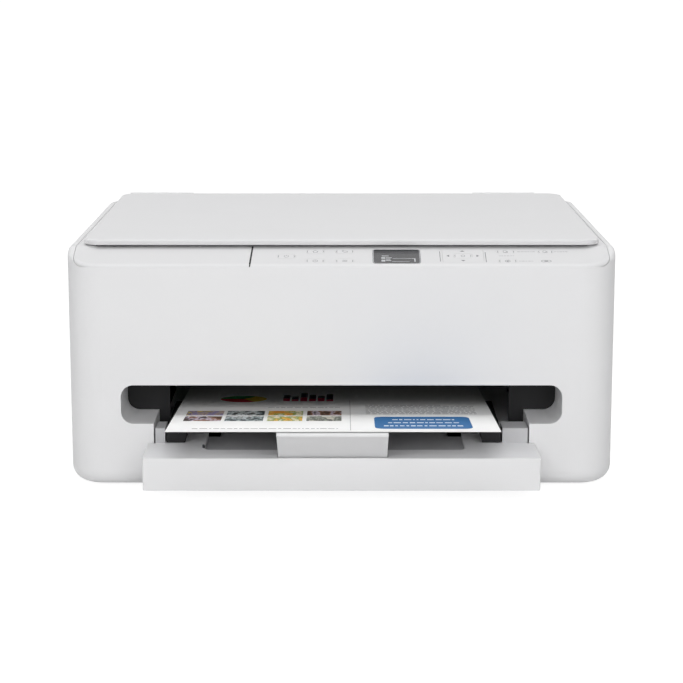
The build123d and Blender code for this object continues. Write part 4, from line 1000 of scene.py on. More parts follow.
@dataclass
class OperationPanel:
    """The sloping panel with its display, keys and printed marks."""

    crease_back: float = 28.0
    crease_up: float = 164.0
    slope: float = math.radians(18.0)
    ink_thickness: float = 0.03
    stroke: float = 0.34
    bracket_height: float = 3.0
    bracket_bow: float = 4.2
    caption_strokes: Point2 = (0.9, 2.2)
    caption_gap: float = 0.55
    caption_rest: float = 0.8
    board_depth: float = 6.0
    divider_places: tuple[Point2, ...] = ((66.4, 16.0), (97.2, 17.1))
    divider_length: float = 15.2
    navigation_middle: Point2 = (81.8, 15.2)
    arrow_reach: Point2 = (10.1, 7.3)
    arrow_tip: float = 0.9
    arrow_wing: float = 1.5
    status_middle: Point2 = (137.5, 23.1)
    status_window: Point3 = (6.4, 2.6, 1.2)
    status_light: Point3 = (2.6, 1.1, 0.5)
    loose_caption: Point3 = (15.2, 106.4, 116.3)
    loose_seed: int = 31
    display_middle: Point2 = (37.1, 16.05)
    display_size: Point2 = (32.0, 21.5)
    display_inset: float = 0.7
    display_radius: float = 1.9
    display_highlight_rim: float = 0.5
    display_blocks: tuple[tuple[float, float, float, float], ...] = (
        (7.0, 4.4, 2.6, 2.6), (7.0, 8.4, 2.6, 2.0), (10.6, 8.6, 4.0, 0.9),
        (10.2, 6.6, 3.2, 0.9), (10.4, 4.4, 3.6, 0.9), (8.4, 11.4, 4.6, 0.9),
    )
    display_lines: tuple[tuple[float, tuple[Point2, ...]], ...] = (
        (0.4, ((12.6, 3.2), (24.6, 3.2))),
        (0.4, ((13.2, 7.6), (26.2, 7.6))),
        (0.9, ((26.4, 7.6), (28.2, 7.6), (28.2, 3.0))),
    )
    keys: tuple[Key, ...] = (
        Key("key_power", -37.2, 15.9, 5.4, Symbol.POWER),
        Key("key_home", -17.7, 8.6, 5.4, Symbol.HOME),
        Key("key_back", 2.2, 8.6, 5.4, Symbol.BACK),
        Key("key_info", -17.7, 22.8, 5.4, Symbol.INFO),
        Key("key_menu", 2.2, 22.8, 5.4, Symbol.MENU),
        Key("key_ok", 81.9, 15.2, 5.4, Symbol.DOT),
        Key("key_copy_mono", 111.1, 9.0, 5.4, Symbol.PAGES, (118.9, 131.9)),
        Key("key_copy_colour", 138.0, 9.0, 4.4, Symbol.PAGES, (144.1, 153.0)),
        Key("key_stop", 111.6, 23.1, 5.4, Symbol.STOP, (119.1, 128.7)),
    )

    def surface(self, x: float, down: float, lift: float) -> Vector:
        """A place on the slope.

        Args:
            x: how far right of the middle it is.
            down: its distance down from the crease.
            lift: its height over the surface.

        Returns:
            The place.
        """
        back = self.crease_back - down * math.cos(self.slope) - lift * math.sin(self.slope)
        up = self.crease_up - down * math.sin(self.slope) + lift * math.cos(self.slope)
        return at(x, back, up)

    def drawing(self, thickness: float | None = None) -> FlatArt:
        """An empty drawing on the slope, with y up the slope from the crease."""
        return FlatArt(lambda x, y, h: self.surface(x, -y, h), thickness or self.ink_thickness)

    @property
    def thin(self) -> float:
        """The width of the strokes of a symbol."""
        return self.stroke * 0.8

    def ring(self, art: FlatArt, x: float, y: float, radius: float) -> None:
        """Draws a circle of a thin stroke."""
        art.line(arc((x, y), radius, 0, 340, 16), self.thin, closed=True)

    def symbol(self, art: FlatArt, kind: Symbol, x: float, y: float) -> None:
        """Draws a plain symbol.

        Args:
            art: the drawing.
            kind: which symbol.
            x: its middle.
            y: its middle, up the slope.
        """
        thin = self.thin
        if kind is Symbol.POWER:
            art.line(arc((x, y), 1.5, 125, 415, 14), thin)
            art.line([(x, y + 0.3), (x, y + 1.9)], thin)
        elif kind is Symbol.HOME:
            art.line([(x - 1.9, y), (x, y + 1.7), (x + 1.9, y)], thin)
            art.line([(x - 1.3, y + 0.3), (x - 1.3, y - 1.5), (x + 1.3, y - 1.5), (x + 1.3, y + 0.3)], thin)
        elif kind is Symbol.BACK:
            art.line([(x - 0.7, y + 1.8), (x - 2.0, y + 0.8), (x - 0.7, y - 0.2)], thin)
            art.line([(x - 1.8, y + 0.8), (x + 0.8, y + 0.8)] + arc((x + 0.8, y - 0.3), 1.1, 90, -90, 8)
                     + [(x - 0.8, y - 1.4)], thin)
        elif kind is Symbol.INFO:
            self.ring(art, x, y, 1.6)
            art.bar(x, y - 0.25, thin, 1.1)
            art.bar(x, y + 0.75, thin, thin)
        elif kind is Symbol.MENU:
            for k in (-1, 0, 1):
                art.bar(x, y + 1.1 * k, 3.4, thin)
        elif kind is Symbol.PAGES:
            art.line(rounded((x - 0.5, y + 0.3), 2.2, 2.6, 0.3, 2), thin, closed=True)
            art.line([(x - 0.9, y - 1.5), (x + 1.2, y - 1.5), (x + 1.2, y + 0.9)], thin)
        elif kind is Symbol.STOP:
            self.ring(art, x, y, 1.6)
            art.filled(rounded((x, y), 1.3, 1.3, 0.2, 2))
        elif kind is Symbol.DOT:
            self.ring(art, x, y, 1.3)

    def brackets(self, art: FlatArt, key: Key) -> None:
        """Draws the two curved strokes at a key's sides.

        Args:
            art: the drawing.
            key: the key.
        """
        bow = self.bracket_bow
        reach = math.degrees(math.asin(self.bracket_height / 2 / bow))
        for side, face in ((-1, 180), (1, 0)):
            middle = (key.x + side * (key.half_gap - bow), -key.down)
            art.line(arc(middle, bow, face - reach, face + reach, 8), self.stroke)

    def caption(self, art: FlatArt, down: float, ends: Point2, seed: int) -> None:
        """Draws the unreadable short strokes that stand where a key's words are.

        Args:
            art: the drawing.
            down: how far down from the crease they are.
            ends: where they start and end.
            seed: the start of the random draws.
        """
        draw = random.Random(seed)
        x, end = ends
        while x < end - self.caption_rest:
            width = min(draw.uniform(*self.caption_strokes), end - x)
            art.bar(x + width / 2, -down, width, self.stroke)
            x += width + self.caption_gap

    def build(self, ink: bpy.types.Material, pale: bpy.types.Material) -> None:
        """Makes the marks of the keys and of the panel, and the picture on the display.

        Args:
            ink: the marks' grey.
            pale: the display's light grey.
        """
        for key in self.keys:
            art = self.drawing()
            self.brackets(art, key)
            self.symbol(art, key.symbol, key.x, -key.down)
            art.piece(f"{key.name}_marks", key.name, ink, "key_plastic")
        self.arrows(ink)
        self.marks(ink)
        self.display(pale)

    def arrows(self, ink: bpy.types.Material) -> None:
        """Makes the four arrowheads of the direction pad.

        Args:
            ink: the marks' grey.
        """
        art = self.drawing()
        tip, wing = self.arrow_tip, self.arrow_wing
        for side_x, side_y in ((0, 1), (0, -1), (-1, 0), (1, 0)):
            x = self.navigation_middle[0] + side_x * self.arrow_reach[0]
            y = -self.navigation_middle[1] + side_y * self.arrow_reach[1]
            art.filled([
                (x + side_x * tip, y + side_y * tip),
                (x - side_x * tip - side_y * wing, y - side_y * tip + side_x * wing),
                (x - side_x * tip + side_y * wing, y - side_y * tip - side_x * wing),
            ])
        art.piece("key_navigation_marks", "key_navigation", ink, "key_plastic")

    def marks(self, ink: bpy.types.Material) -> None:
        """Makes the captions, the dividers and the status light of the panel.

        Args:
            ink: the marks' grey.
        """
        art = self.drawing()
        for seed, key in enumerate(self.keys):
            if key.caption is not None:
                self.caption(art, key.down, key.caption, seed)
        for x, down in self.divider_places:
            art.bar(x, -down, self.stroke * 1.3, self.divider_length)
        down, start, end = self.loose_caption
        self.caption(art, down, (start, end), self.loose_seed)
        middle = (self.status_middle[0], -self.status_middle[1])
        art.line(rounded(middle, *self.status_window), self.stroke, closed=True)
        art.filled(rounded(middle, *self.status_light))
        art.piece("panel_marks", Body.TOP_UNIT, ink, "key_plastic")

    def display(self, pale: bpy.types.Material) -> None:
        """Makes what the display shows, a few blocks and strokes, and a pale line round its window that is a
        painted highlight on the window's edge.

        Args:
            pale: the display's light grey.
        """
        x, down = self.display_middle
        width, height = self.display_size
        left, low = x - width / 2, -down - height / 2
        picture = self.drawing()
        for across, up, wide, tall in self.display_blocks:
            picture.bar(left + across, low + up, wide, tall)
        for thick, path in self.display_lines:
            picture.line([(left + across, low + up) for across, up in path], thick)
        picture.piece("display_picture", Body.TOP_UNIT, pale, "display_black")
        # A pale line round the window's edge: painted highlight.
        rim_highlight = self.drawing()
        inset = self.display_inset
        edge = rounded((x, -down), width - inset, height - inset, self.display_radius, 6)
        rim_highlight.line(edge, self.display_highlight_rim, closed=True)
        rim_highlight.piece("display_highlight_rim", Body.TOP_UNIT, FINISH.lever, "display_black")


@dataclass
class PrintedPage:
    """The sheet in the output tray with a made-up page printed on it."""

    middle_x: float = -5.4
    front_back: float = -74.9
    front_up: float = 58.6
    slope: float = math.radians(4.9)
    width: float = 215.9
    length: float = 279.4
    thickness: float = 0.12
    columns: int = 36
    rows: int = 48
    curl: float = 0.06
    curl_reach: float = 120.0
    ink_thickness: float = 0.02
    ink_gap: float = 0.01
    strip_width: float = 6.0
    pie_middle: Point2 = (-64.8, 157.5)
    pie_radius: float = 16.5
    first_column: float = -36.4
    column_pitch: float = 6.2
    column_width: float = 4.8
    column_foot: float = 146.0
    column_gap: float = 0.6
    column_tops: tuple[Point2, ...] = (
        (160, 178), (156, 171), (166, 190), (158, 180), (163, 174), (155, 184),
    )
    picture_columns: tuple[Point2, ...] = ((-100.0, -75.0), (-72.6, -47.0), (-44.4, -20.8), (-18.0, 5.4))
    picture_rows: tuple[Point2, ...] = ((48.0, 70.0), (74.0, 96.0))
    word_strokes: Point2 = (1.2, 5.2)
    word_shares: Point2 = (0.75, 1.0)
    word_gaps: Point2 = (0.8, 1.4)
    word_height: float = 1.6
    heading_rows: tuple[Point3, ...] = ((-91.6, 4.8, 14.0), (-45.6, 5.4, 113.0))
    paragraph_across: Point2 = (22.0, 97.5)
    paragraph_start: float = 82.0
    paragraph_pitch: float = 6.0
    paragraph_rows: int = 8
    paragraph_height: float = 1.7
    last_row_short: float = 21.0
    rules: tuple[tuple[float, float, float, float], ...] = (
        (11.1, 11.5, 6.0, 150.0), (-92.0, 4.8, 129.2, 130.0),
    )
    banner_across: Point2 = (27.2, 90.9)
    banner_inward: Point2 = (13.0, 68.0)
    banner_radius: float = 6.0
    banner_rows: Point3 = (26.0, 40.0, 54.0)
    banner_words: float = 4.2
    parts: list[bpy.types.Object] = field(default_factory=list)

    def surface(self, x: float, inward: float, lift: float) -> Vector:
        """A place on the page.

        Args:
            x: its distance from the page's middle line.
            inward: its distance in from the front edge.
            lift: its height over the page.

        Returns:
            The place.
        """
        height = lift - self.curl * (2 * x / self.width) ** 2 * max(0.0, 1 - inward / self.curl_reach)
        back = self.front_back + inward * math.cos(self.slope) + height * math.sin(self.slope)
        up = self.front_up - inward * math.sin(self.slope) + height * math.cos(self.slope)
        return at(self.middle_x + x, back, up)

    def sheet(self) -> bpy.types.Object:
        """Makes the sheet itself.

        Returns:
            The sheet.
        """
        draft = Draft()
        grids = []
        for lift in (-self.thickness, 0.0):
            grid = []
            for row in range(self.rows + 1):
                inward = self.length * row / self.rows
                xs = [self.width * (column / self.columns - 0.5) for column in range(self.columns + 1)]
                grid.append(draft.ring(self.surface(x, inward, lift) for x in xs))
            for first, second in zip(grid, grid[1:]):
                draft.bridge(first, second, closed=False)
            grids.append(grid)
        under, over = grids
        draft.bridge(under[0], over[0], closed=False)
        draft.bridge(under[-1], over[-1], closed=False)
        for side in (0, -1):
            draft.bridge([row[side] for row in under], [row[side] for row in over], closed=False)
        return draft.piece("page", Body.SHEET, FINISH.paper, "paper")

    def art(self, level: int = 0) -> FlatArt:
        """An empty drawing on the page."""
        return FlatArt(self.surface, self.ink_thickness, self.ink_gap + level * self.ink_thickness)

    def block(self, art: FlatArt, left: float, right: float, near: float, far: float) -> None:
        """Adds a rectangle in strips, so that it follows the page.

        Args:
            art: the drawing.
            left: its left edge.
            right: its right edge.
            near: its edge nearest the front.
            far: its edge farthest in.
        """
        strips = max(1, round((right - left) / self.strip_width))
        for k in range(strips):
            low = left + (right - left) * k / strips
            high = left + (right - left) * (k + 1) / strips
            art.filled([(low, near), (high, near), (high, far), (low, far)])

    def words(self, art: FlatArt, left: float, right: float, inward: float, height: float,
              seed: int) -> None:
        """Adds a row of unreadable short strokes.

        Args:
            art: the drawing.
            left: where the row starts.
            right: where it ends.
            inward: its distance in from the page's front edge.
            height: the height of its strokes.
            seed: the start of the random draws.
        """
        draw = random.Random(seed)
        x = left
        while x < right - 1:
            width = min(draw.uniform(*self.word_strokes), right - x)
            art.bar(x + width / 2, inward, width, height * draw.uniform(*self.word_shares))
            x += width + draw.uniform(*self.word_gaps)

    def keep(self, art: FlatArt, name: str, ink: Ink | PictureInk) -> None:
        """Finishes one colour of the print."""
        self.parts.append(art.piece(name, Body.SHEET, ink.material(), "paper"))

    def build(self) -> None:
        page = self.sheet()
        self.charts()
        self.pictures()
        self.texts()
        self.banner()
        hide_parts("printed_sheet")

    def charts(self) -> None:
        """A pie of three shares and six two-part columns, far in on the left half."""
        for name, colour, start, end in (
            ("red", tone(186, 34, 42), 176, 300),
            ("green", tone(48, 150, 84), 60, 176),
            ("yellow", tone(214, 186, 60), -60, 60),
        ):
            art = self.art()
            art.filled(arc(self.pie_middle, self.pie_radius, start, end, 14) + [self.pie_middle])
            self.keep(art, f"print_{name}", Ink(f"ink_{name}", colour))
        crimson, black = self.art(), self.art()
        for k, (split, end) in enumerate(self.column_tops):
            left = self.first_column + k * self.column_pitch
            self.block(crimson, left, left + self.column_width, self.column_foot, split)
            self.block(black, left, left + self.column_width, split + self.column_gap, end)
        self.keep(crimson, "print_crimson", Ink("ink_crimson", tone(170, 26, 66)))
        self.keep(black, "print_black", Ink("ink_black", tone(38, 34, 38)))

    def pictures(self) -> None:
        """Two rows of made-up pictures on the left half."""
        brown = (tone(72, 48, 34), tone(142, 98, 64), tone(206, 196, 214), tone(58, 44, 38))
        grey = (tone(38, 46, 48), tone(132, 146, 148), tone(212, 218, 220), tone(60, 64, 62))
        amber = (tone(224, 150, 44), tone(240, 192, 92), tone(120, 150, 66), tone(236, 226, 196))
        stone = (tone(94, 98, 92), tone(168, 172, 160), tone(52, 56, 54), tone(204, 202, 188))
        violet = (tone(206, 186, 92), tone(96, 88, 150), tone(198, 176, 150), tone(150, 140, 180))
        kinds = (brown, grey, amber, stone, violet, grey, amber, brown)
        places = [(across, inward) for inward in self.picture_rows for across in self.picture_columns]
        for k, (((left, right), (near, far)), colours) in enumerate(zip(places, kinds)):
            name = f"{k // 4 + 1}_{k % 4 + 1}"
            art = self.art()
            self.block(art, left, right, near, far)
            self.keep(art, f"print_picture_{name}", PictureInk(f"picture_{name}", colours, 0.37 * (k + 1)))

    def texts(self) -> None:
        """Rows of grey strokes and two thin rules."""
        soft = self.art()
        for k, (left, right, inward) in enumerate(self.heading_rows):
            self.words(soft, left, right, inward, self.word_height, 5 + k)
        left, right = self.paragraph_across
        for k in range(self.paragraph_rows):
            end = right - self.last_row_short if k == self.paragraph_rows - 1 else right
            inward = self.paragraph_start + self.paragraph_pitch * k
            self.words(soft, left, end, inward, self.paragraph_height, 11 + k)
        self.keep(soft, "print_words", Ink("ink_grey", tone(128, 128, 130)))
        fine = self.art()
        for rule in self.rules:
            self.block(fine, *rule)
        self.keep(fine, "print_rules", Ink("ink_pale", tone(176, 176, 176)))

    def banner(self) -> None:
        """A blue rounded box in narrow columns, with rows of white strokes."""
        (left, right), (near, far), radius = self.banner_across, self.banner_inward, self.banner_radius
        box = self.art()
        edges = [radius * k / 6 for k in range(6)]
        edges += [radius + (right - left - 2 * radius) * k / 12 for k in range(13)]
        edges += [right - left - radius + radius * k / 6 for k in range(1, 7)]

        def inset(along: float) -> float:
            """How far the rounded corner draws the box's edge in."""
            from_corner = radius - min(along, right - left - along)
            return radius - math.sqrt(radius ** 2 - from_corner ** 2) if from_corner > 0 else 0.0

        for low, high in zip(edges, edges[1:]):
            box.filled([(left + low, near + inset(low)), (left + high, near + inset(high)),
                        (left + high, far - inset(high)), (left + low, far - inset(low))])
        self.keep(box, "print_blue", Ink("ink_blue", tone(44, 104, 158)))
        white = self.art(1)
        for k, inward in enumerate(self.banner_rows):
            self.words(white, left + 6 + 3 * k, right - 6 - 2 * k, inward, self.banner_words, 40 + k)
        self.keep(white, "print_white", Ink("ink_white", tone(226, 234, 240)))


@dataclass
class Scanner:
    """The scanner's foam pad."""

    pad_radius: float = 6.0
    pad_rims: tuple[Point2, ...] = ((0.0, 1.2), (0.4, 0.4), (1.4, 0.0))

    def build(self) -> None:
        """Makes the foam pad, with soft edges below."""
        low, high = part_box("document_pad")
        middle = ((low.x + high.x) / 2, (low.y + high.y) / 2)
        width, depth = high.x - low.x, high.y - low.y
        draft = Draft()
        rings = []
        profile = [(0.0, high.z)] + [(inset * MM, low.z + rise * MM) for inset, rise in self.pad_rims]
        for inset, level in profile:
            outline = rounded(middle, width - 2 * inset, depth - 2 * inset, self.pad_radius * MM - inset, 6)
            rings.append(draft.ring(Vector((x, y, level)) for x, y in outline))
        draft.stack(rings)
        pad = draft.piece("foam_pad", Body.COVER, FINISH.foam, "white_foam")
        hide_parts("document_pad")


@dataclass
class SealAndShadeStrips:
    """Thin strips: a dark one under the cover's front edge and one over the panel's seam, both painted
    shade, and a white seal in the joint under the panel.
    """

    cover_inset: float = 9.0
    cover_setback: float = 0.25
    cover_size: Point2 = (2.2, 0.38)
    cover_underside: float = 165.0
    cover_overlap: float = 0.05
    cover_rounding: float = 0.1
    seam_ends: tuple[Point2, Point2] = ((-60.42, -0.8), (-61.4, -27.5))
    seam_width: float = 1.15
    seam_thickness: float = 0.04
    seam_steps: int = 6
    joint_levels: Point2 = (153.42, 153.58)
    joint_fronts: Point2 = (0.12, 0.17)
    joint_back: float = 1.6
    joint_half: float = 172.0
    joint_steps: int = 60
    corner_start: float = 162.0
    corner_radius: float = 24.0

    def build(self) -> None:
        """Makes the two strips of painted shade and the seal."""
        self.cover()
        self.seam()
        self.joint()

    def cover(self) -> None:
        """Makes the dark strip under the cover's front edge, which closes the gap to the bezel: painted
        shade for that gap.
        """
        low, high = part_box("document_cover")
        left, right = low.x + self.cover_inset * MM, high.x - self.cover_inset * MM
        front = low.y + self.cover_setback * MM
        depth, height = self.cover_size
        under = at(0, 0, self.cover_underside).z
        outline = [(left, front), (right, front), (right, front + depth * MM), (left, front + depth * MM)]
        draft = Draft()
        draft.slab([Vector((x, y, under - height * MM)) for x, y in outline],
                   [Vector((x, y, under + self.cover_overlap * MM)) for x, y in outline])
        draft.piece("cover_gap_shade", Body.COVER, FINISH.rubber, "rubber", self.cover_rounding)

    def seam(self) -> None:
        """Makes the dark band in the seam between the panel's two parts: painted shade for the seam."""
        band = OperationPanel().drawing(self.seam_thickness)
        (x0, y0), (x1, y1) = self.seam_ends
        count = self.seam_steps
        path = [(x0 + (x1 - x0) * k / count, y0 + (y1 - y0) * k / count) for k in range(count + 1)]
        band.line(path, self.seam_width)
        band.piece("seam_shade", Body.TOP_UNIT, FINISH.rubber, "rubber")

    def joint(self) -> None:
        """Makes the white strip in the joint between the panel and the casing's front."""
        count, radius = self.joint_steps, self.corner_radius

        def row(front: float, up: float) -> list[Vector]:
            """The strip's outline at a height, its front edge bent with the casing's corners.

            Args:
                front: how far behind the front face it starts.
                up: the height.

            Returns:
                Its points.
            """
            near = []
            for k in range(-count, count + 1):
                x = self.joint_half * k / count
                past = max(0.0, abs(x) - self.corner_start)
                near.append(at(x, front + radius - math.sqrt(radius ** 2 - past ** 2), up))
            far = [point + Vector((0, self.joint_back * MM, 0)) for point in reversed(near)]
            return near + far

        draft = Draft()
        draft.slab(*(row(front, up) for front, up in zip(self.joint_fronts, self.joint_levels)))
        draft.piece("joint_seal", Body.BASE, FINISH.panel, "casing")


@dataclass
class Drive:
    """The toothed belt of the print carriage."""

    tooth_pitch: float = 2.0
    tooth_depth: float = 0.5
    thickness: float = 1.0
    pitch_radius: float = 6.3
    points_per_tooth: int = 4

    def loop(self, radius: float, half: float, up: float) -> list[Point2]:
        """The belt's line round both pulleys, evenly divided.

        Args:
            radius: the radius of its bends.
            half: half the distance between the pulleys.
            up: the pulleys' height above the floor.

        Returns:
            Its points, each with x and height.
        """
        straight = 2 * half
        bend = math.pi * radius
        total = 2 * (straight + bend)
        teeth = round(2 * (2 * half + math.pi * self.pitch_radius) / self.tooth_pitch)
        count = teeth * self.points_per_tooth
        points: list[Point2] = []
        for k in range(count):
            along = total * k / count
            if along < straight:
                points.append((-half + along, up - radius))
            elif along < straight + bend:
                turn = (along - straight) / radius - math.pi / 2
                points.append((half + radius * math.cos(turn), up + radius * math.sin(turn)))
            elif along < 2 * straight + bend:
                points.append((half - (along - straight - bend), up + radius))
            else:
                turn = (along - 2 * straight - bend) / radius + math.pi / 2
                points.append((-half + radius * math.cos(turn), up + radius * math.sin(turn)))
        return points

    def build(self) -> None:
        """Makes the belt with its inner teeth."""
        low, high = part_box("timing_belt")
        up = (low.z + high.z) / 2 / MM
        outer = (high.z - low.z) / 2 / MM
        half = (high.x - low.x) / 2 / MM - outer
        inner = outer - self.thickness
        draft = Draft()
        outer_line = self.loop(outer, half, up)
        inner_line = self.loop(inner + self.tooth_depth, half, up)
        root_line = self.loop(inner, half, up)
        half_tooth = self.points_per_tooth // 2
        line = [root if k % self.points_per_tooth < half_tooth else tooth
                for k, (root, tooth) in enumerate(zip(root_line, inner_line))]
        rings = []
        for points, side in ((outer_line, low.y), (outer_line, high.y), (line, high.y), (line, low.y)):
            rings.append(draft.ring(Vector((x * MM, side, z * MM)) for x, z in points))
        for first, second in zip(rings, rings[1:] + rings[:1]):
            draft.bridge(first, second)
        belt = draft.piece("toothed_belt", Body.BASE, FINISH.rubber, "rubber")
        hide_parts("timing_belt")


@dataclass
class Printer:
    """The whole printer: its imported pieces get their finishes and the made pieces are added."""

    joint_heights: Point2 = (150.0, 156.0)
    cover_front_normal: float = -0.6
    tray_top: float = 32.7
    block_rise: float = 0.2
    well_sink: Point2 = (1.0, 3.0)
    well_normal: float = 0.7
    shade_stud_place: Point2 = (-92.9, -13.0)
    shade_stud_heights: Point2 = (-0.1, 2.2)
    shade_stud_radius: float = 0.9
    shade_stud_sides: int = 16
    feed_back: float = 238.0
    eject_back: float = 203.0
    roller_up: float = 55.0
    shaft_radius: float = 3.6
    pinch_shaft_radius: float = 2.0
    gear_width: float = 4.2
    no_gear: float = -1.0
    board_thickness: float = 1.7

    def dress_casing(self) -> None:
        """Finishes the casing and everything on it."""
        dress(["outer_shell"], FINISH.casing, 0.15)
        dress(["rear_cover", "scanner_bezel", "panel_blank_cover", "operation_panel"], FINISH.panel, 0.06)
        for name in ("outer_shell", "panel_blank_cover", "operation_panel"):
            keep_crisp(name, *self.joint_heights)
        dress(["document_cover"], FINISH.cover, 0.6)
        # The cover's forward-facing faces get its plastic a shade darker: painted shade on its front edge.
        dress_zone("document_cover", FINISH.cover_front_shade, lambda face: face.normal.y < self.cover_front_normal)
        dress(["base_pan"], FINISH.dark, 0.4)
        dress(["case_screws"], FINISH.screw, 0.1)
        dress(["rubber_feet"], FINISH.rubber, 0.3)
        dress(["slot_liner", "ac_inlet", "power_supply"], FINISH.black, 0.3)

    def dress_top_unit(self) -> None:
        """Finishes the scanner, the panel and its keys."""
        dress([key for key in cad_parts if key.startswith("key_")], FINISH.panel, 0.08)
        dress(["display_window"], FINISH.window, 0.1)
        dress(["scanner_housing"], FINISH.dark, 0.3)
        dress(["scan_bar"], FINISH.black, 0.3)
        dress(["platen_glass"], FINISH.glass, 0.2)
        dress(["hinge_pins"], FINISH.rod, 0.1)

    def dress_tray(self) -> None:
        """Finishes the paper tray, with painted shade on the floor of its well, and adds a dark pin at its
        left, painted shade for a shadow at the well's corner.
        """
        dress(["tray_front"], FINISH.casing, 0.3)
        dress(["cassette_tub", "tray_cover"], FINISH.tray, 0.3)
        top = self.tray_top * MM
        least, most = (sink * MM for sink in self.well_sink)
        dress_zone("tray_cover", FINISH.block, lambda face: face.center.z > top + self.block_rise * MM)
        # The well floor gets the tray's grey darker: painted shade in the recess.
        dress_zone("tray_cover", FINISH.well_shade,
                   lambda face: face.normal.z > self.well_normal and -most < face.center.z - top < -least)
        dress(["paper_guide_left", "paper_guide_right"], FINISH.black, 0.4)
        dress(["output_support"], FINISH.casing, 0.2)
        # A dark pin at the well's left corner: painted shade for the dark dot of shadow there.
        shade_stud = Draft()
        foot, head = (at(*self.shade_stud_place, self.tray_top + height) for height in self.shade_stud_heights)
        shade_stud.pin(foot, head, self.shade_stud_radius * MM, self.shade_stud_sides)
        shade_stud.piece("tray_shade_stud", Body.TRAY, FINISH.dark, "dark_plastic", 0.2)

    def dress_rollers(self) -> None:
        """Finishes the rollers, each of which is a steel shaft with sleeves and a gear."""
        gear_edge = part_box("feed_roller")[0].x + self.gear_width * MM
        for name, back in (("feed_roller", self.feed_back), ("eject_roller", self.eject_back)):
            middle = (FRONT + back * MM, self.roller_up * MM)
            roller = TurnedPart(f"{name}_parts", middle, self.shaft_radius * MM, gear_edge)
            dress([name], roller.material(), 0.1)
        low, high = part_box("pinch_rollers")
        middle = (FRONT + self.feed_back * MM, (low.z + high.z) / 2)
        pinch = TurnedPart("pinch_parts", middle, self.pinch_shaft_radius * MM, self.no_gear)
        dress(["pinch_rollers"], pinch.material(), 0.1)

    def dress_engine(self) -> None:
        """Finishes the frames, shafts, rollers, gears and the carriage."""
        dress(["side_frames", "carriage_rail"], FINISH.steel, 0.15)
        dress(["guide_shaft"], FINISH.rod, 0.3)
        dress(["carriage_motor", "feed_motor"], FINISH.motor, 0.3)
        dress(["drive_pulley", "idler_pulley", "idler_gear", "motor_pinion"], FINISH.gear, 0.08)
        self.dress_rollers()
        dress(["platen", "cap_station", "turn_guide", "pickup_arm"], FINISH.dark, 0.25)
        dress(["pickup_roller"], FINISH.rubber, 0.2)
        dress(["print_carriage", "cartridge_black", "cartridge_colour"], FINISH.black, 0.3)
        dress(["lever_black", "lever_colour"], FINISH.lever, 0.25)

    def dress_boards(self) -> None:
        """Finishes the circuit boards."""
        board_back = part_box("logic_board")[0].y + self.board_thickness * MM
        panel = OperationPanel()
        rise, run = math.cos(panel.slope), math.sin(panel.slope)
        anchor = panel.surface(0, 0, -panel.board_depth)

        def main_parts(graph: Graph) -> Socket:
            """One on the parts that stand on the main board, zero on the board."""
            return graph.sum("GREATER_THAN", graph.axes()[1], board_back)

        def panel_parts(graph: Graph) -> Socket:
            """Tells the parts that stand on the panel's board from the board.

            Args:
                graph: the board's material.

            Returns:
                One on the parts, zero on the board.
            """
            _, y, z = graph.axes()
            height = graph.sum("SUBTRACT", graph.sum("MULTIPLY", z, rise), graph.sum("MULTIPLY", y, run))
            return graph.sum("GREATER_THAN", height, anchor.z * rise - anchor.y * run)

        dress(["logic_board"], CircuitBoard("main_board", main_parts).material(), 0.1)
        dress(["panel_board"], CircuitBoard("panel_circuit", panel_parts).material(), 0.1)

    def build(self) -> None:
        """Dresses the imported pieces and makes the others."""
        self.dress_casing()
        self.dress_top_unit()
        self.dress_tray()
        self.dress_engine()
        self.dress_boards()
        mark_ink = Ink("mark_grey", tone(124, 124, 128), 0.5).material()
        pale = Ink("display_light", tone(196, 198, 200), 0.3).material()
        OperationPanel().build(mark_ink, pale)
        for part in (PrintedPage(), Scanner(), SealAndShadeStrips(), Drive()):
            part.build()


@dataclass(frozen=True)
class Lamp:
    """A large soft lamp: where it hangs, its width and height, and its power in watts."""

    name: str
    place: Point3
    size: Point2
    power: float


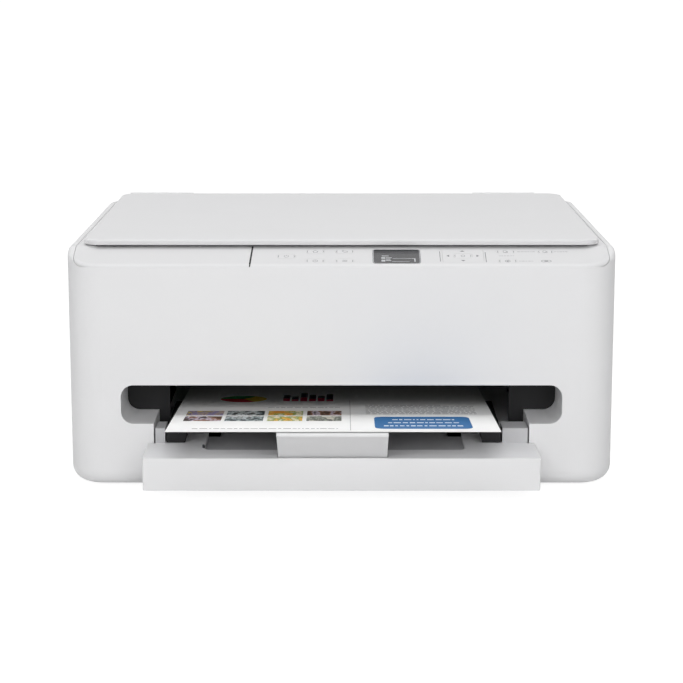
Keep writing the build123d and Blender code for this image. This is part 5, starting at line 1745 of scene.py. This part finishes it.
@dataclass
class Studio:
    """The floor, the lights and the camera."""

    focal: float = 105.42
    film_width: float = 36.0
    far_clip: float = 200.0
    camera_back: float = -1322.2
    camera_up: float = 357.7
    pitch: float = math.radians(79.1)
    floor_half: float = 40.0
    floor_tone: float = 0.8
    shadow_tone: float = 0.3
    floor_glow: Point2 = (0.91, 1.0)
    glow_reach: Point2 = (0.6, 2.5)
    sky: float = 0.08
    aim: Point3 = (0.0, 0.0, 0.09)
    lamps: tuple[Lamp, ...] = (
        Lamp("overhead", (0.0, 0.1, 2.2), (2.0, 1.6), 29.2),
        Lamp("front_high", (0.0, -2.2, 1.1), (2.4, 0.6), 25.0),
        Lamp("front_low", (0.0, -2.4, 0.55), (2.4, 0.6), 9.6),
        Lamp("side_left", (-2.2, -0.4, 0.7), (1.0, 1.0), 6.2),
        Lamp("side_right", (1.6, -1.2, 1.0), (1.2, 1.2), 2.9),
    )

    def shown(self, nodes: Nodes, unseen: Socket, seen: Socket) -> Socket:
        """Mixes two shaders, one for the light and one for the eye.

        Args:
            nodes: the tree that they are in.
            unseen: the shader that lights the printer.
            seen: the shader for rays to the camera, off gloss or through glass.

        Returns:
            The mixed shader.
        """
        path = nodes.add("ShaderNodeLightPath")
        value = path.outputs["Is Camera Ray"]
        for name in ("Is Glossy Ray", "Is Transmission Ray"):
            either = nodes.add("ShaderNodeMath", operation="MAXIMUM")
            nodes.join(value, either.inputs[0])
            nodes.join(path.outputs[name], either.inputs[1])
            value = either.outputs[0]
        mix = nodes.add("ShaderNodeMixShader")
        for socket, source in zip(mix.inputs, (value, unseen, seen)):
            nodes.join(source, socket)
        return mix.outputs[0]

    def matt(self, nodes: Nodes, level: float) -> Socket:
        """Adds a matt grey shader.

        Args:
            nodes: the tree that it is in.
            level: how light it is, 0 to 1.

        Returns:
            What it gives.
        """
        shader = nodes.add("ShaderNodeBsdfDiffuse")
        shader.inputs["Color"].default_value = (level, level, level, 1)
        return shader.outputs[0]

    def floor(self) -> None:
        """Makes a plain pale floor that keeps a soft shadow."""
        half = self.floor_half
        draft = bmesh.new()
        corners = ((-half, -half), (half, -half), (half, half), (-half, half))
        draft.faces.new([draft.verts.new((x, y, 0)) for x, y in corners])
        data = bpy.data.meshes.new("floor")
        draft.to_mesh(data)
        draft.free()
        floor = placed("floor", data)
        material = bpy.data.materials.new("pale_floor")
        material.use_nodes = True
        nodes = Nodes(material.node_tree)
        output = nodes.add("ShaderNodeOutputMaterial")
        plain = self.matt(nodes, self.floor_tone)
        shadow = self.matt(nodes, self.shadow_tone)
        glow = nodes.add("ShaderNodeEmission")
        distance = nodes.add("ShaderNodeVectorMath", operation="LENGTH")
        nodes.join(nodes.add("ShaderNodeTexCoord").outputs["Object"], distance.inputs[0])
        rise = nodes.span(distance.outputs["Value"], *self.floor_glow, *self.glow_reach)
        nodes.join(rise, glow.inputs["Strength"])
        both = nodes.add("ShaderNodeAddShader")
        nodes.join(shadow, both.inputs[0])
        nodes.join(glow.outputs[0], both.inputs[1])
        nodes.join(self.shown(nodes, plain, both.outputs[0]), output.inputs["Surface"])
        data.materials.append(material)

    def world(self) -> None:
        """Makes the even light all round, white where it is seen."""
        world = bpy.data.worlds.new("studio")
        bpy.context.scene.world = world
        world.use_nodes = True
        nodes = Nodes(world.node_tree)
        output = nodes.add("ShaderNodeOutputWorld")
        light, seen = (nodes.add("ShaderNodeBackground") for _ in range(2))
        light.inputs["Strength"].default_value = self.sky
        for node in (light, seen):
            node.inputs["Color"].default_value = (1, 1, 1, 1)
        nodes.join(self.shown(nodes, light.outputs[0], seen.outputs[0]), output.inputs["Surface"])

    def hang(self, lamp: Lamp) -> None:
        """Adds a lamp, turned to the printer.

        Args:
            lamp: the lamp.
        """
        data = bpy.data.lights.new(lamp.name, "AREA")
        data.shape = "RECTANGLE"
        data.size, data.size_y = lamp.size
        data.energy = lamp.power
        made = placed(lamp.name, data)
        made.location = Vector(lamp.place)
        made.rotation_euler = (Vector(self.aim) - made.location).to_track_quat("-Z", "Y").to_euler()

    def camera(self) -> None:
        """Adds the camera at the photograph's place."""
        data = bpy.data.cameras.new("camera")
        data.lens = self.focal
        data.sensor_width = self.film_width
        data.clip_end = self.far_clip
        camera = placed("camera", data)
        camera.location = at(0, self.camera_back, self.camera_up)
        camera.rotation_euler = (self.pitch, 0, 0)
        bpy.context.scene.camera = camera

    def build(self) -> None:
        """Makes the whole studio."""
        bpy.context.scene.view_settings.view_transform = "Standard"
        self.camera()
        self.floor()
        self.world()
        for lamp in self.lamps:
            self.hang(lamp)


def main() -> None:
    """Builds the printer and the studio round it."""
    logging.basicConfig(level=logging.INFO, format="%(message)s")
    Studio().build()
    Printer().build()


if __name__ == "__main__":
    main()
